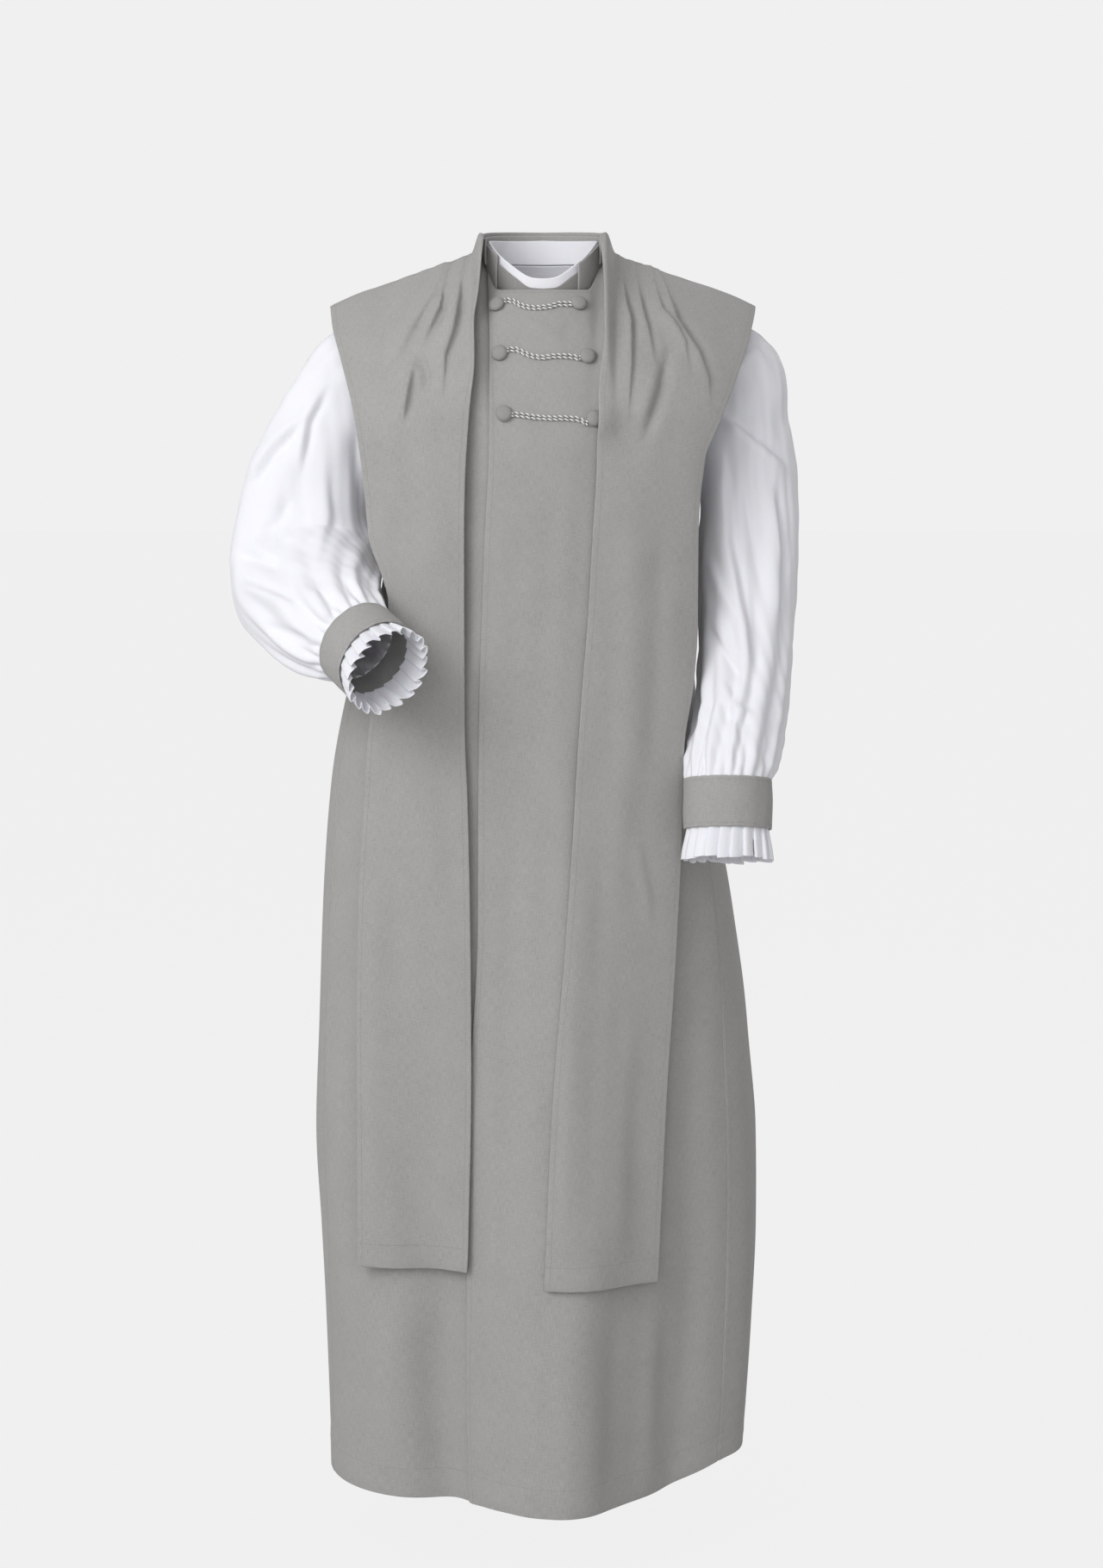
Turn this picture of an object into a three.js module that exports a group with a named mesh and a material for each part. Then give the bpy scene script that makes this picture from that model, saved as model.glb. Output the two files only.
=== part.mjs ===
// Chimere and rochet set, worn and hollow, as on a general figure that isn't there.
// Millimetres. +Z is up, the front faces -Y and +X is the wearer's left side.
// The origin is the middle of the neck base, where the set hangs on its wearer.
import * as THREE from "three";
import { mergeVertices } from "three/addons/utils/BufferGeometryUtils.js";

// ---- cloth and seams ----
const GREY_CLOTH = 2;
const WHITE_CLOTH = 1.5;
const RUFFLE_CLOTH = 1.1;
const SEAM_GAP = 0.4;

// ---- how far each layer stands off the hollow form ----
const ROCHET_OFFSET = -10;
const UNDER_OFFSET = -2;
const OVER_OFFSET = 2.4;
const OUTER_OFFSET = 7.4;
const BUTTON_LIFT = 0.3;
// The back comes out from the under layer to the outer one towards the shoulders.
const CAPE_RISE = { from: -160, over: 110 };

// ---- lengths from the neck base ----
const BODY_HEM = -1293;
const ROCHET_HEM = -1130;
const UNDERARM = -255;
const ROCHET_UNDERARM = -214;
const SHOULDER_ROUND = 165;
const ROCHET_ROUND = 235;
const SECTION_POWER = 2.4;

// The hollow form: half-widths to each side and depths to front and back, a row per height.
// outer and cape are the extra half-width of the loose front panels and of the back's shoulders.
const FORM = [
  { z: 30, left: 188, right: 188, front: 116, back: 92, outer: 84, cape: 84 },
  { z: -100, left: 188, right: 188, front: 124, back: 98, outer: 80, cape: 78 },
  { z: -150, left: 184, right: 183, front: 129, back: 100, outer: 77, cape: 60 },
  { z: -185, left: 177, right: 174, front: 132, back: 101, outer: 76, cape: 28 },
  { z: -215, left: 168, right: 163, front: 134, back: 102, outer: 74, cape: 5 },
  { z: -255, left: 162, right: 157, front: 135, back: 103, outer: 72, cape: 0 },
  { z: -340, left: 171, right: 156, front: 135, back: 106, outer: 64, cape: 0 },
  { z: -450, left: 208, right: 162, front: 137, back: 114, outer: 38, cape: 0 },
  { z: -550, left: 226, right: 178, front: 140, back: 124, outer: 24, cape: 0 },
  { z: -690, left: 236, right: 205, front: 145, back: 136, outer: 20, cape: 0 },
  { z: -810, left: 241, right: 220, front: 148, back: 145, outer: 18, cape: 0 },
  { z: -915, left: 244, right: 229, front: 150, back: 151, outer: 18, cape: 0 },
  { z: -1020, left: 240, right: 230, front: 152, back: 156, outer: 18, cape: 0 },
  { z: -1130, left: 235, right: 226, front: 154, back: 160, outer: 18, cape: 0 },
  { z: -1300, left: 231, right: 214, front: 156, back: 165, outer: 18, cape: 0 },
];

// The shoulder seam's height over the half-width.
const SHOULDER = [
  { x: 56, z: 9 },
  { x: 66, z: 4 },
  { x: 80, z: -3 },
  { x: 120, z: -17 },
  { x: 160, z: -31 },
  { x: 200, z: -46 },
  { x: 222, z: -57 },
];

// The side seams as a share of the half-width, a row per height.
const SIDE_SEAM = [
  { z: -200, left: 0.985, right: 0.985 },
  { z: -330, left: 0.96, right: 0.96 },
  { z: -460, left: 0.95, right: 0.93 },
  { z: -740, left: 0.95, right: 0.875 },
  { z: -930, left: 0.945, right: 0.845 },
  { z: -1300, left: 0.97, right: 0.85 },
];

// Rows of each panel above and below its underarm, and how they crowd towards it.
const FRONT_ROWS = { upperRows: 7, lowerRows: 9, crowd: 1.12, underarm: UNDERARM };
const BACK_ROWS = { upperRows: 9, lowerRows: 9, crowd: 1.12, underarm: UNDERARM };
const OUTER_ROWS = { upperRows: 12, lowerRows: 7, crowd: 1.12, underarm: UNDERARM };
const ROCHET_ROWS = { upperRows: 6, lowerRows: 7, crowd: 1.5, underarm: ROCHET_UNDERARM };
const EVENNESS = 0.65;

// The height over which an armhole's edge swings out to the side seam, and the sleeve's gap.
const ARMHOLE_TURN = 30;
const BACK_ARMHOLE_TURN = 60;
const ARMHOLE_GAP = 1.9;

// The armholes' front and back edges: half-width at each height, for the gown's fronts,
// for its back, and for the rochet.
const ARMHOLE = [
  { z: -20, front: 168, back: 218, rochet: 160 },
  { z: -60, front: 164, back: 215, rochet: 156 },
  { z: -110, front: 158, back: 205, rochet: 151 },
  { z: -160, front: 156, back: 184, rochet: 149 },
  { z: -205, front: 154, back: 156, rochet: 150 },
  { z: -240, front: 154, back: 148, rochet: 152 },
];

// The over-lapping front's free edge, down from the buttoned top.
const OVERLAP_EDGE = [
  { z: 0, x: -57 },
  { z: -90, x: -53 },
  { z: -190, x: -53 },
  { z: -297, x: -58 },
  { z: -488, x: -64 },
  { z: -681, x: -65 },
  { z: -836, x: -73 },
  { z: -1043, x: -79 },
  { z: -1200, x: -82 },
  { z: -1300, x: -78 },
];

// The loose front panels: both edges of each, a row per height.
const OUTER_RIGHT = [
  { z: 20, inner: -66, edge: -217 },
  { z: -30, inner: -65, edge: -217 },
  { z: -62, inner: -69, edge: -213 },
  { z: -103, inner: -68, edge: -201 },
  { z: -157, inner: -73, edge: -187 },
  { z: -227, inner: -77, edge: -177 },
  { z: -286, inner: -78, edge: -171 },
  { z: -323, inner: -78, edge: -158 },
  { z: -350, inner: -78, edge: -152 },
  { z: -400, inner: -78, edge: -153 },
  { z: -472, inner: -78, edge: -172 },
  { z: -554, inner: -75, edge: -178 },
  { z: -653, inner: -73, edge: -184 },
  { z: -812, inner: -72, edge: -187 },
  { z: -1043, inner: -77, edge: -187 },
];
const OUTER_LEFT = [
  { z: 20, inner: 66, edge: 217 },
  { z: -34, inner: 62, edge: 217 },
  { z: -75, inner: 62, edge: 208 },
  { z: -121, inner: 57, edge: 192 },
  { z: -174, inner: 54, edge: 171 },
  { z: -201, inner: 54, edge: 160 },
  { z: -278, inner: 50, edge: 153 },
  { z: -368, inner: 45, edge: 153 },
  { z: -430, inner: 40, edge: 149 },
  { z: -500, inner: 35, edge: 139 },
  { z: -600, inner: 29, edge: 137 },
  { z: -700, inner: 22, edge: 133 },
  { z: -875, inner: 9, edge: 123 },
  { z: -1053, inner: 2, edge: 115 },
];
const OUTER_HEM = { right: -1043, left: -1053 };

// Soft folds of the gown: where they stand round the form in degrees (0 is the front, +90 the
// wearer's left), how wide, how far out at the hem, and the height they start from.
const BODY_FOLDS = [
  { angle: 4, width: 15, height: 40, from: -380 },
  { angle: -23, width: 13, height: -22, from: -560 },
  { angle: 38, width: 14, height: -12, from: -600 },
  { angle: 66, width: 12, height: 8, from: -620 },
  { angle: 96, width: 10, height: -9, from: -560 },
  { angle: 122, width: 13, height: 14, from: -420 },
  { angle: 141, width: 10, height: -12, from: -420 },
  { angle: 160, width: 12, height: 15, from: -300 },
  { angle: 180, width: 11, height: -14, from: -330 },
  { angle: 201, width: 12, height: 14, from: -300 },
  { angle: 221, width: 11, height: -13, from: -430 },
  { angle: 240, width: 13, height: 13, from: -440 },
  { angle: 263, width: 11, height: -9, from: -560 },
];

// Pleats let into the shoulders: a ridge line from top to foot, its height and width.
const FRONT_PLEATS_RIGHT = [
  { xTop: -88, zTop: -8, xFoot: -99, zFoot: -165, height: 4.6, width: 13 },
  { xTop: -103, zTop: -16, xFoot: -130, zFoot: -150, height: 5, width: 14 },
  { xTop: -116, zTop: -22, xFoot: -166, zFoot: -135, height: 5, width: 15 },
];
const FRONT_PLEATS_LEFT = [
  { xTop: 80, zTop: -4, xFoot: 83, zFoot: -170, height: 4.6, width: 13 },
  { xTop: 97, zTop: -12, xFoot: 117, zFoot: -125, height: 5, width: 14 },
  { xTop: 114, zTop: -16, xFoot: 140, zFoot: -110, height: 4.4, width: 13 },
  { xTop: 131, zTop: -22, xFoot: 168, zFoot: -155, height: 5, width: 15 },
];
// The left panel rises over the lowest button, which is half under its edge.
const BUTTON_RISE = { x: 55, z: -163, height: 8.5, width: 26 };
const BACK_PLEAT_TOPS = [44, 62, 80, 98, 116];
const BACK_PLEAT = { zTop: 4, zFoot: -250, spread: 1.42, height: 5, width: 15 };

// The neck: one oval, with each band a little outside the one before.
const NECK = { half: 55, front: 60, back: 54 };
const NECK_LEAN = { rochet: 0, insert: 2.7, gown: 5.4, outer: 8.2 };
const NECK_STEP = 12;
const FRONT_NECK = { z: -34, depth: 65, wrap: 0.3 };
const NECK_EDGE = {
  under: { left: { flat: 43, half: 66 }, right: { flat: 56, half: 74 } },
  over: { left: { flat: 60, half: 76 }, right: { flat: 45, half: 67 } },
};
const NECK_BANDS = {
  rochet: [
    { angle: 0, low: -42, high: -19 },
    { angle: 40, low: -34, high: -2 },
    { angle: 75, low: -8, high: 18 },
    { angle: 90, low: 1, high: 22 },
    { angle: 180, low: 1, high: 25 },
  ],
  insert: [
    { angle: 0, low: -32.5, high: -29.6 },
    { angle: 12, low: -32.5, high: -28.5 },
    { angle: 30, low: -31, high: -17 },
    { angle: 52, low: -20, high: -2 },
    { angle: 76, low: -2, high: 12 },
  ],
  gown: [
    { angle: 0, low: -31, high: -16 },
    { angle: 38, low: -31, high: -2 },
    { angle: 50, low: -28, high: 6 },
    { angle: 60, low: -20, high: 12 },
    { angle: 70, low: -11, high: 17 },
    { angle: 80, low: -3, high: 21 },
    { angle: 90, low: 2, high: 25 },
    { angle: 180, low: 3, high: 33 },
  ],
  outer: [
    { angle: 66, low: -4, high: 23 },
    { angle: 76, low: 5, high: 25 },
    { angle: 86, low: 16.5, high: 28 },
    { angle: 180, low: 16.5, high: 37 },
  ],
};
const GOWN_COLLAR_GAP = { from: 37, to: 309 };
const INSERT_ARC = { from: -76, to: 76 };
const OUTER_COLLAR_ARC = { from: 68, to: 292 };

// Covered buttons: where they sit on the over-lapping front, and their turned profile.
const BUTTON_PLACES = [
  { right: [-47, -46], left: [37, -45] },
  { right: [-44, -96], left: [46, -99] },
  { right: [-39, -157], left: [53, -162] },
];
const BUTTON_RADIUS = 8.3;
const BUTTON_HEIGHT = 6.6;
const BUTTON_PROFILE = [
  { out: 0, up: 0 },
  { out: 0.82, up: 0 },
  { out: 1, up: 0.36 },
  { out: 0.84, up: 0.76 },
  { out: 0.45, up: 0.96 },
  { out: 0, up: 1 },
];
const BUTTON_SIDES = 14;
const FRONT_REACH = 300;
const CORD_RADIUS = 2.7;
const CORD_GAP = 0.7;
const CORD_LIFT = 0.45;
const CORD_SIDES = 8;
const CORD_STEPS = 14;
const CORD_SAG = [
  { share: 0, drop: 0 },
  { share: 0.2, drop: 1.5 },
  { share: 0.42, drop: -0.6 },
  { share: 0.62, drop: 1.6 },
  { share: 0.82, drop: 0.2 },
  { share: 1, drop: 0 },
];

// Sleeves: the middle of each section, the direction of its wide axis, and both half-widths.
// Gather is the height of the small folds drawn up into the cuff.
const SLEEVE_RIGHT = [
  { at: [-160, 0, -128], wide: [0, 0, 1], a: 82, b: 52, gather: 0 },
  { at: [-193, 0, -147], wide: [-0.36, 0, 0.93], a: 72, b: 48, gather: 0 },
  { at: [-209, 0, -166], wide: [-0.75, 0, 0.6], a: 65, b: 51, gather: 0 },
  { at: [-233, 0, -207], wide: [-0.9, 0, 0.42], a: 64, b: 56, gather: 0 },
  { at: [-247, 2, -258], wide: [-0.96, 0, 0.25], a: 70, b: 60, gather: 0 },
  { at: [-251, -12, -308], wide: [-1, 0, 0.05], a: 77, b: 60, gather: 0.4 },
  { at: [-248, -54, -339], wide: [-0.95, 0, -0.3], a: 74, b: 54, gather: 1 },
  { at: [-230, -99, -360], wide: [-0.86, 0, -0.5], a: 65, b: 50, gather: 1.8 },
  { at: [-211, -137, -374], wide: [-0.75, 0, -0.66], a: 56, b: 45, gather: 2.8 },
  { at: [-197, -155, -382], wide: [-0.68, 0, -0.74], a: 48, b: 39, gather: 2.6 },
  { at: [-188, -168, -387], wide: [-0.66, 0, -0.75], a: 43.2, b: 35.2, gather: 1 },
];
const SLEEVE_LEFT = [
  { at: [160, 0, -128], wide: [0, 0, 1], a: 82, b: 52, gather: 0 },
  { at: [193, 0, -146], wide: [0.36, 0, 0.93], a: 72, b: 48, gather: 0 },
  { at: [209, -2, -184], wide: [0.93, 0, 0.36], a: 49.5, b: 51, gather: 0 },
  { at: [215, -8, -240], wide: [1, 0, 0.08], a: 49.5, b: 54, gather: 0 },
  { at: [214, -22, -310], wide: [1, 0, 0], a: 51.5, b: 56, gather: 0.3 },
  { at: [213, -40, -375], wide: [1, 0, 0], a: 49, b: 54, gather: 0.8 },
  { at: [209, -70, -436], wide: [1, 0, 0], a: 47, b: 49, gather: 1.6 },
  { at: [202, -101, -484], wide: [1, 0, 0], a: 45, b: 44, gather: 2.6 },
  { at: [194, -125, -514], wide: [1, 0, 0], a: 44.5, b: 38.5, gather: 2.6 },
  { at: [190, -137, -530], wide: [1, 0, 0], a: 43.2, b: 35.2, gather: 1 },
];
const SLEEVE_COLUMNS = 36;
const SLEEVE_ROWS = 15;
const SLEEVE_GATHERS = 12;
// Long soft folds of a sleeve: where round it, how wide, how far out, and the share of the
// sleeve's length where each one is highest and how far it runs either way.
const SLEEVE_FOLDS = [
  { angle: 20, width: 26, height: 5, middle: 0.34, reach: 0.3 },
  { angle: 78, width: 24, height: -5, middle: 0.42, reach: 0.26 },
  { angle: 135, width: 26, height: 5, middle: 0.5, reach: 0.3 },
  { angle: 200, width: 26, height: -4, middle: 0.4, reach: 0.3 },
  { angle: 262, width: 24, height: 5, middle: 0.48, reach: 0.28 },
  { angle: 318, width: 24, height: -4.5, middle: 0.56, reach: 0.26 },
];

// Cuffs and their ruffles, along the line that the sleeve ends on.
const CUFF = { length: 50, a: 45.4, b: 37.4, thick: 2.4, columns: 30, rows: 2 };
const RUFFLE = { length: 33, inside: 6, pleats: 21, flare: 4, wave: 3.6, rows: 2 };
const CUFF_RIGHT_AXIS = [0.42, -0.86, -0.29];
const CUFF_LEFT_AXIS = [-0.01, -0.22, -0.975];

// ---- colours of the two cloths ----
const GREY = 0x9b9a98;
const DARK_GREY = 0x8a8987;
const WHITE = 0xf0f0f4;
const SILVER = 0xb4b4b2;
const GREY_ROUGHNESS = 0.85;
const WHITE_ROUGHNESS = 0.7;
const CORD_ROUGHNESS = 0.5;

// ================= small helpers =================

const lerp = (a, b, t) => a + (b - a) * t;
const clamp01 = (t) => Math.min(1, Math.max(0, t));
const smooth = (t) => clamp01(t) * clamp01(t) * (3 - 2 * clamp01(t));
const radians = THREE.MathUtils.degToRad;
const signedPower = (v, p) => Math.sign(v) * Math.abs(v) ** p;
const bump = (offset, width) => Math.exp(-((offset / width) ** 2) * 2);

// A smooth curve that never overshoots, through one column of a table, read at key = at.
function track(rows, key, column, at) {
  const rising = rows[rows.length - 1][key] > rows[0][key];
  const sorted = rising ? rows : [...rows].reverse();
  const last = sorted.length - 1;
  if (at <= sorted[0][key]) return sorted[0][column];
  if (at >= sorted[last][key]) return sorted[last][column];
  let i = 0;
  while (sorted[i + 1][key] < at) i += 1;
  const slope = (k) =>
    (sorted[k + 1][column] - sorted[k][column]) / (sorted[k + 1][key] - sorted[k][key]);
  const tangent = (k) => {
    if (k === 0) return slope(0);
    if (k === last) return slope(last - 1);
    const before = slope(k - 1);
    const after = slope(k);
    return before * after <= 0 ? 0 : (2 * before * after) / (before + after);
  };
  const span = sorted[i + 1][key] - sorted[i][key];
  const t = (at - sorted[i][key]) / span;
  const [p, q] = [sorted[i][column], sorted[i + 1][column]];
  const bend = (1 - t) * tangent(i) * span - t * tangent(i + 1) * span;
  return lerp(p, q, t * t * (3 - 2 * t)) + t * (1 - t) * bend;
}

// One closed mesh from two grids of points, the outside and the inside of a wall.
function wall(outer, inner, closedRound) {
  const rows = outer.length;
  const columns = outer[0].length;
  const positions = [...outer.flat(), ...inner.flat()].flatMap((p) => [p.x, p.y, p.z]);
  const at = (side, r, c) => side * rows * columns + r * columns + (c % columns);
  const index = [];
  const quad = (a, b, c, d) => index.push(a, b, c, a, c, d);
  const lastColumn = closedRound ? columns : columns - 1;
  for (let r = 0; r < rows - 1; r += 1)
    for (let c = 0; c < lastColumn; c += 1) {
      quad(at(0, r, c), at(0, r + 1, c), at(0, r + 1, c + 1), at(0, r, c + 1));
      quad(at(1, r, c), at(1, r, c + 1), at(1, r + 1, c + 1), at(1, r + 1, c));
    }
  for (let c = 0; c < lastColumn; c += 1) {
    quad(at(0, 0, c), at(0, 0, c + 1), at(1, 0, c + 1), at(1, 0, c));
    quad(at(0, rows - 1, c), at(1, rows - 1, c), at(1, rows - 1, c + 1), at(0, rows - 1, c + 1));
  }
  for (let r = 0; r < rows - 1 && !closedRound; r += 1) {
    quad(at(0, r, 0), at(1, r, 0), at(1, r + 1, 0), at(0, r + 1, 0));
    const c = columns - 1;
    quad(at(0, r, c), at(0, r + 1, c), at(1, r + 1, c), at(1, r, c));
  }
  return faceOutward(positions, index);
}

// A geometry whose faces point out, whichever way round its grid ran.
function faceOutward(positions, index) {
  let volume = 0;
  const corner = (i) => new THREE.Vector3().fromArray(positions, index[i] * 3);
  for (let i = 0; i < index.length; i += 3)
    volume += corner(i).dot(corner(i + 1).cross(corner(i + 2)));
  if (volume < 0) index.reverse();
  const geometry = new THREE.BufferGeometry();
  geometry.setAttribute("position", new THREE.Float32BufferAttribute(positions, 3));
  geometry.setIndex(index);
  geometry.computeVertexNormals();
  return geometry;
}

// The inside of a wall: the outside's points moved in along the surface's own normals.
function movedIn(grid, thickness, inwards, closedRound) {
  const rows = grid.length;
  const columns = grid[0].length;
  return grid.map((row, r) =>
    row.map((point, c) => {
      const up = grid[Math.max(0, r - 1)][c];
      const down = grid[Math.min(rows - 1, r + 1)][c];
      const wrap = (k) => (k + columns) % columns;
      const before = row[closedRound ? wrap(c - 1) : Math.max(0, c - 1)];
      const after = row[closedRound ? wrap(c + 1) : Math.min(columns - 1, c + 1)];
      const along = down.clone().sub(up);
      const across = after.clone().sub(before);
      const normal = along.cross(across).normalize();
      const inside = inwards(point, r);
      if (normal.dot(inside) < 0) normal.negate();
      return point.clone().addScaledVector(normal, thickness);
    }),
  );
}

// ================= the hollow form =================

const shoulderHeight = (x) => track(SHOULDER, "x", "z", Math.abs(x));

const LAYER_WIDTH = { body: null, outer: "outer", cape: "cape" };

function halfWidth(x, z, kind) {
  const side = x < 0 ? "left" : "right";
  const extra = LAYER_WIDTH[kind];
  return track(FORM, "z", side, z) + (extra ? track(FORM, "z", extra, z) : 0);
}

function foldOut(angle, z) {
  return BODY_FOLDS.reduce((sum, fold) => {
    const turn = ((angle - fold.angle + 540) % 360) - 180;
    const grown = smooth((fold.from - z) / (fold.from - BODY_HEM));
    return sum + fold.height * grown * bump(turn, fold.width);
  }, 0);
}

function pleatOut(pleats, x, z) {
  return pleats.reduce((sum, pleat) => {
    const t = (pleat.zTop - z) / (pleat.zTop - pleat.zFoot);
    const ridge = lerp(pleat.xTop, pleat.xFoot, clamp01(t));
    const offset = (x - ridge) * Math.sign(pleat.xFoot - pleat.xTop || 1);
    const width = offset > 0 ? pleat.width * 0.35 : pleat.width;
    const rise = t < 0 ? 1 : smooth(1.15 - 1.15 * t);
    return sum + pleat.height * rise * bump(offset, width);
  }, 0);
}

const BACK_PLEATS = [-1, 1].flatMap((side) =>
  BACK_PLEAT_TOPS.map((x) => ({ ...BACK_PLEAT, xTop: side * x, xFoot: side * x * BACK_PLEAT.spread })),
);

// Where a panel starts at the top, over x: its height, and how far it stands from the seam line.
function frontNeckTop(x, edge, lower) {
  const { flat, half } = x < 0 ? edge.left : edge.right;
  const rise = smooth((Math.abs(x) - flat) / (half - flat));
  const z = lerp(FRONT_NECK.z - lower, shoulderHeight(half), rise);
  return Math.abs(x) < half ? z : shoulderHeight(x);
}

// The fronts' top edge is nearly flat before the neck and turns back to the shoulder seam.
function frontNeckDepth(x, offset, edge) {
  const { flat, half } = x < 0 ? edge.left : edge.right;
  const turn = smooth((Math.abs(x) - flat) / (half - flat));
  const full = FRONT_NECK.depth * (1 - FRONT_NECK.wrap * Math.min(1, Math.abs(x) / half) ** 2);
  return (full + offset) * (1 - turn) + SEAM_GAP / 2;
}

const neckDepth = (x, half, depth) => depth * Math.sqrt(Math.max(0, 1 - (x / half) ** 2));

// A point of a layer: the section's angle in degrees, the height, and the distance off the form.
function layerPoint({ angle, z, zTop, topDepth, offset, kind, relief = 0, round = SHOULDER_ROUND }) {
  const sine = signedPower(Math.sin(radians(angle)), 2 / SECTION_POWER);
  const cosine = signedPower(Math.cos(radians(angle)), 2 / SECTION_POWER);
  const out = offset + relief + foldOut(angle, z);
  const x = (halfWidth(sine, z, kind) + out) * sine;
  const depth = track(FORM, "z", cosine > 0 ? "front" : "back", z);
  const drop = clamp01((zTop + offset - z) / round);
  const fall = (1 - (1 - drop) ** 2) ** 0.8;
  const full = (depth + out) * Math.abs(cosine);
  const lift = relief * (1 - fall);
  return new THREE.Vector3(x, -Math.sign(cosine) * lerp(topDepth, full, fall), z + lift);
}

const angleAt = (x, z, kind) => {
  const share = Math.min(1, Math.abs(x) / halfWidth(x, z, kind));
  return (Math.sign(x) * Math.asin(share ** (SECTION_POWER / 2)) * 180) / Math.PI;
};

// The heights of a panel's rows at one column: some down to the underarm, the rest to the hem,
// so that two panels that meet at a side seam have their rows at the same heights.
function rowHeight(shape, row, top, hem) {
  const { upperRows, lowerRows, crowd, underarm } = shape;
  const share = row / upperRows;
  if (row <= upperRows) return lerp(top, underarm, lerp(share, smooth(share), EVENNESS));
  return lerp(underarm, hem, ((row - upperRows) / lowerRows) ** crowd);
}

// One point of a panel's grid. Its height, angle and top edge hang on each other, so they are
// found in a few passes.
function panelPoint(shape, row, share, extra) {
  let z = lerp(0, shape.hem(0), row / (shape.upperRows + shape.lowerRows));
  let angle = 0;
  let x = 0;
  let zTop = 0;
  for (let pass = 0; pass < 8; pass += 1) {
    angle = lerp(shape.from(z), shape.to(z), share);
    const sine = signedPower(Math.sin(radians(angle)), 2 / SECTION_POWER);
    x = halfWidth(sine, z, shape.kind) * sine;
    zTop = shape.top(x);
    z = rowHeight(shape, row, zTop + shape.offset(x, zTop), shape.hem(angle));
  }
  const offset = shape.offset(x, z) + extra;
  return layerPoint({
    angle,
    z: z + extra * clamp01(1 - row / shape.upperRows) ** 6,
    zTop,
    topDepth: shape.topDepth(x, offset),
    offset,
    kind: shape.kind,
    relief: shape.relief ? shape.relief(x, z) : 0,
    round: shape.round,
  });
}

// A panel on the form, between two edges that are given as angles over the height.
function panelGrid(shape, extra) {
  return Array.from({ length: shape.upperRows + shape.lowerRows + 1 }, (_, row) =>
    Array.from({ length: shape.columns + 1 }, (__, column) =>
      panelPoint(shape, row, column / shape.columns, extra),
    ),
  );
}

const panel = (shape) => wall(panelGrid(shape, shape.thick), panelGrid(shape, 0), false);

const seamShare = (side, z) => track(SIDE_SEAM, "z", side, z);

// The half-width where a body panel ends: the armhole above the underarm, the side seam below.
function bodyEdge(side, column, z, underarm) {
  const sign = side === "left" ? -1 : 1;
  const seam = seamShare(side, z) * halfWidth(sign, z, "body");
  const arm = Math.min(track(ARMHOLE, "z", column, z), seam);
  return sign * (z <= underarm ? seam : lerp(seam, arm, smooth((z - underarm) / ARMHOLE_TURN)));
}

const gapAngle = (z) => (SEAM_GAP / 2 / halfWidth(1, z, "body")) * (180 / Math.PI) * 2.2;

// ================= the pieces =================

const group = new THREE.Group();

function add(name, geometry, colour, roughness = GREY_ROUGHNESS) {
  const material = new THREE.MeshStandardMaterial({ color: colour, roughness });
  material.side = THREE.DoubleSide;
  const mesh = new THREE.Mesh(geometry, material);
  mesh.name = name;
  group.add(mesh);
  return mesh;
}

const HEM_RISE = [
  { angle: 0, z: BODY_HEM },
  { angle: 30, z: BODY_HEM + 8 },
  { angle: 60, z: BODY_HEM + 34 },
  { angle: 90, z: BODY_HEM + 46 },
  { angle: 180, z: BODY_HEM + 20 },
];
const HEM_RISE_RIGHT = [
  { angle: 0, z: BODY_HEM },
  { angle: 60, z: BODY_HEM + 3 },
  { angle: 110, z: BODY_HEM + 12 },
  { angle: 180, z: BODY_HEM + 20 },
];
function bodyHem(angle) {
  const turned = ((angle + 540) % 360) - 180;
  const rows = turned > 0 ? HEM_RISE : HEM_RISE_RIGHT;
  return track(rows, "angle", "z", Math.abs(turned));
}

function frontPanels() {
  const shared = { ...FRONT_ROWS, kind: "body", thick: GREY_CLOTH, hem: bodyHem };
  const neck = (edge, lower) => ({
    top: (x) => frontNeckTop(x, edge, lower),
    topDepth: (x, offset) => frontNeckDepth(x, offset, edge),
  });
  const sideAngle = (side, z) => angleAt(bodyEdge(side, "front", z, UNDERARM), z, "body");
  add(
    "chimere_front_right",
    panel({
      ...shared,
      columns: 12,
      offset: () => UNDER_OFFSET,
      from: (z) => sideAngle("left", z) + gapAngle(z),
      to: (z) => angleAt(52, z, "body"),
      ...neck(NECK_EDGE.under, 4),
    }),
    GREY,
  );
  // The over-lapping front lies on the other one, then comes down to the form at its side seam.
  const overOffset = (x) => lerp(OVER_OFFSET, UNDER_OFFSET, smooth((x - 70) / 60));
  add(
    "chimere_front_left",
    panel({
      ...shared,
      columns: 14,
      offset: overOffset,
      from: (z) => angleAt(track(OVERLAP_EDGE, "z", "x", z), z, "body"),
      to: (z) => sideAngle("right", z) - gapAngle(z),
      ...neck(NECK_EDGE.over, 0),
    }),
    GREY,
  );
}

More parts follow.
